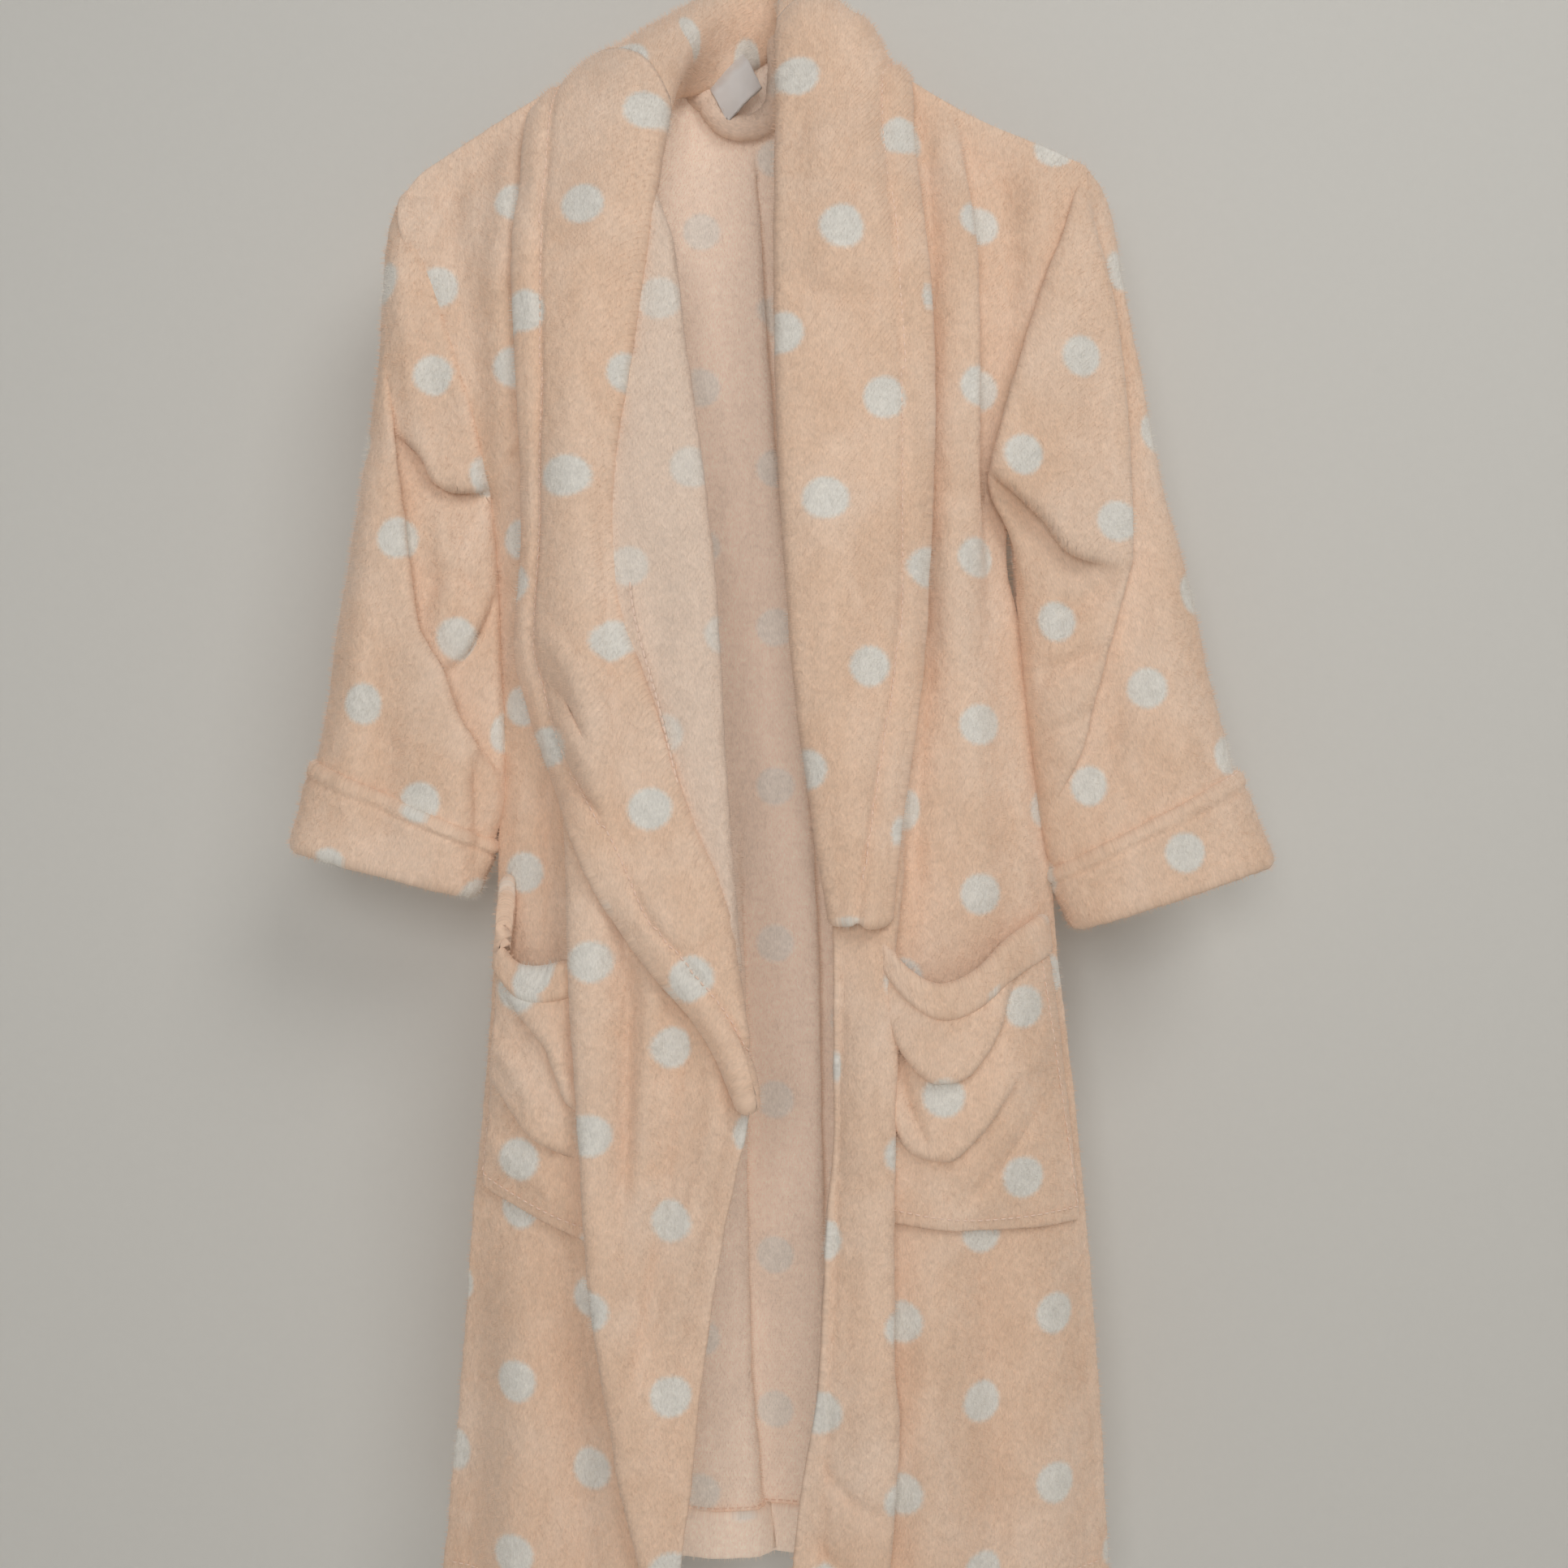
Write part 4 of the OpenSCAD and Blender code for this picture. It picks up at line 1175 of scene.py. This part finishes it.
def build_label():
    """The blank care label: a folded satin strip that leaves the slanting neck seam squarely."""
    low, high = (np.array(c) * 1000 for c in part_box("care_label"))
    behind = (low[1] + high[1]) / 2 - SHOULDER_Y * 1000
    satin = satin_material()
    wide, long = high[0] - low[0] + 5, 43.0
    tilt, lean = math.radians(45), math.radians(27)
    top = np.array([-19.0, 27.0])
    right = np.array([math.cos(tilt), math.sin(tilt)])
    fall = np.array([math.sin(lean), -math.cos(lean)])
    v = np.linspace(0, 1, 34)[:, None]
    u = np.linspace(-0.5, 0.5, 18)[None, :]          # from the label's middle line
    layers = []
    for lift in (1.0, -0.8):
        x = top[0] + right[0] * wide * u + fall[0] * long * v
        z = top[1] + right[1] * wide * u + fall[1] * long * v
        y = behind - lift * (1 - v ** 8) - 3.4 * np.cos(math.pi * u) * v - 2.5 * v ** 2 * u
        y = y + 19 * ease(1 - v / 0.55)
        layers.append(np.stack([x, y, z], axis=-1))
    sheet = np.concatenate([layers[0], layers[1][::-1][1:]])
    label = solid("care_label_satin", sheet, 0.6, [satin, satin], OUT)
    finish_piece(label, "satin", "label", "care_label")


def build_belt_loops():
    for side, phase in ((LEFT, (5, 5)), (RIGHT, (45, 25))):
        name = SIDE_NAME[side]
        low, high = (np.array(c) * 1000 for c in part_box(name + "_belt_loop"))
        x = (low[0] + high[0]) / 2
        y0, y1 = low[1] - SHOULDER_Y * 1000, high[1] - SHOULDER_Y * 1000
        surface = float(back_y(np.array(x), np.array((low[2] + high[2]) / 2))) + LAYER / 2
        line = through([(x, surface + 1, high[2] - 2), (x, surface + 9, high[2] - 4),
                        (x, y1 - 2.5, high[2] - 18), (x, y1 - 2.5, low[2] + 18),
                        (x, surface + 9, low[2] + 4), (x, surface + 1, low[2] + 2)], 40)
        cols = np.linspace(-4, 4, 7)
        grid = line[:, None, :] + np.array([1.0, 0, 0]) * cols[None, :, None]
        cloth = fleece(name + "_belt_loop_fleece", phase)
        strip = solid(name + "_belt_loop_strip", grid, 4.0, [cloth, cloth], INWARD)
        finish_piece(strip, "fleece", "torso", name + "_belt_loop")


def build_facings():
    """The strip behind each front edge. On the right its upper part is turned outwards."""
    turned_x = curve((-95, -62), (-133, -66), (-197, -76), (-292, -88), (-354, -86), (-437, -60),
                     (-515, -34), (-561, -14), (-603, -10))
    pale = fleece("right_turned_fleece", (12, 40), 6, PALE_PEACH, PALE_DOTS)
    v, u = spread(120, 26)
    z = mix(-100, -600, v) + np.zeros_like(u)
    start, roll = turned_x(z), edge_x[RIGHT](z) + 3
    x = mix(start - 6, roll, np.sin(np.minimum(u / 0.86, 1) * math.pi / 2)) - \
        10 * ease((u - 0.86) / 0.14)
    flat_y = front_y(edge_x[RIGHT](z), z, RIGHT)
    y = flat_y - 7 * np.sin(np.minimum(u / 0.9, 1) * math.pi) + 10 * ease((u - 0.8) / 0.2)
    grid = np.stack([x, y - 2, z], axis=-1)
    turned = solid("right_turned_edge", grid, LAYER, [pale, pale], OUT)
    finish_piece(turned, "fleece_inside", (front_blend, RIGHT), "right_front_facing")
    row = grid[60:, 4] + np.array([0, -6, 0])
    thread = stitches("right_facing_thread", row, np.tile((0, -1.0, 0), (len(row), 1)), THREAD,
                      length=5, gap=0.6, width=1.6)
    finish_piece(thread, "thread", (front_blend, RIGHT), "right_facing_stitch")
    # left: a strip inside the front, from the waist to the hem
    grid = front_grid(LEFT)
    normal = grid_normals(grid, OUT)
    waist_row = 70
    rows = slice(waist_row, -HEM_ROWS)
    strip = (grid - normal * TURNED_LIFT)[rows, 1:16]
    pale = fleece("left_facing_fleece", (52, 8), 0, PALE_PEACH, PALE_DOTS)
    facing = solid("left_inner_facing", strip, LAYER, [pale, pale], INWARD)
    finish_piece(facing, "fleece_inside", (front_blend, LEFT), "left_front_facing")
    behind_facing = 9
    row = (grid - normal * behind_facing)[rows, 15]
    thread = stitches("left_facing_thread", row, -normal[rows, 15], THREAD)
    finish_piece(thread, "thread", (front_blend, LEFT), "left_facing_stitch")


def lapel_threads(grid, normal, edge, cut):
    first, last = cut
    column = np.argmin(np.abs(edge - GROOVE), axis=1)
    every = np.arange(len(grid))
    row, up = (grid + normal * 3.2)[every, column], normal[every, column]
    for side, rows in ((RIGHT, slice(8, first)), (LEFT, slice(last, -6))):
        name = SIDE_NAME[side]
        thread = stitches(name + "_lapel_thread", row[rows], up[rows], THREAD)
        finish_piece(thread, "thread", (front_blend, side), name + "_lapel_stitch")


# ---- room, light and camera ----------------------------------------------------------------------

def wall_material(name, colour):
    """Matt paint with a faint roller texture; clear from behind and to the light behind it."""
    n = Nodes(name)
    where = n.add("ShaderNodeTexCoord").outputs["Object"]
    roller = n.noise(where, 160.0, 3.0)
    n.put(n.shader.inputs["Base Color"], n.blend(roller, colour, tuple(c * 0.97 for c in colour)))
    n.put(n.shader.inputs["Roughness"], 0.75)
    n.put(n.shader.inputs["Normal"], n.bump(roller, 0.08, 0.001))
    behind = n.add("ShaderNodeNewGeometry").outputs["Backfacing"]
    shadow = n.add("ShaderNodeLightPath").outputs["Is Shadow Ray"]
    behind = n.math("MAXIMUM", behind, shadow)
    clear = n.add("ShaderNodeBsdfTransparent").outputs[0]
    switch = n.add("ShaderNodeMixShader")
    n.put(switch.inputs[0], behind)
    n.put(switch.inputs[1], n.shader.outputs[0])
    n.put(switch.inputs[2], clear)
    n.put(n.output.inputs["Surface"], switch.outputs[0])
    return n.material


def plane(name, points, material):
    obj = mesh_object(name, np.array(points, float), [(0, 1, 2, 3)], [material])
    return obj


def area_light(name, place, target, size, power, colour=(1, 1, 1)):
    data = bpy.data.lights.new(name, "AREA")
    data.size = size
    data.energy = power
    data.color = colour
    lamp = bpy.data.objects.new(name, data)
    lamp.location = place
    direction = Vector(target) - Vector(place)
    lamp.rotation_euler = direction.to_track_quat("-Z", "Y").to_euler()
    bpy.context.scene.collection.objects.link(lamp)


def build_room():
    wall_y = SHOULDER_Y + 0.108
    floor_z = HEM_Z / 1000 - 0.16
    half, deep, top = 3.0, 4.0, 2.2
    wall = wall_material("wall_paint", (0.70, 0.69, 0.655))
    floor = wall_material("floor_paint", (0.74, 0.73, 0.70))
    for obj in (plane("backdrop", [(-half, wall_y, floor_z), (half, wall_y, floor_z),
                                   (half, wall_y, top), (-half, wall_y, top)], wall),
                plane("floor", [(-half, wall_y, floor_z), (-half, -deep, floor_z),
                                (half, -deep, floor_z), (half, wall_y, floor_z)], floor)):
        normal = obj.data.polygons[0].normal
        if normal.y > 0.5 or normal.z < -0.5:
            obj.data.flip_normals()
    centre = (0.02, SHOULDER_Y, -0.45)
    area_light("window", (0.95, -1.9, 1.1), centre, 1.1, 17, (1.0, 0.98, 0.95))
    area_light("fill", (-0.15, -2.4, -0.1), centre, 1.0, 16.5, (1.0, 0.99, 0.98))
    area_light("back_light", (-0.9, 2.2, 0.9), centre, 2.0, 16)
    world = bpy.data.worlds.new("room_light")
    world.use_nodes = True
    world.node_tree.nodes["Background"].inputs[0].default_value = (1.0, 0.99, 0.97, 1)
    world.node_tree.nodes["Background"].inputs[1].default_value = 0.205
    bpy.context.scene.world = world


CAMERA_DISTANCE = 1.150              # metres before the shoulder line; an assumed distance
CAMERA_X, CAMERA_Z = 0.0278, -0.4816


def build_camera():
    data = bpy.data.cameras.new("camera")
    data.lens = 39.4
    data.sensor_width = 36.0
    camera = bpy.data.objects.new("camera", data)
    camera.location = (CAMERA_X, SHOULDER_Y - CAMERA_DISTANCE, CAMERA_Z)
    camera.rotation_euler = (math.pi / 2, 0, 0)
    bpy.context.scene.collection.objects.link(camera)
    bpy.context.scene.camera = camera


build_body()
collar = build_collar()
lapel_threads(*collar)
build_sleeves()
build_pockets()
build_facings()
build_loop()
build_label()
build_belt_loops()
build_room()
build_camera()
bpy.context.scene.view_settings.view_transform = "Standard"
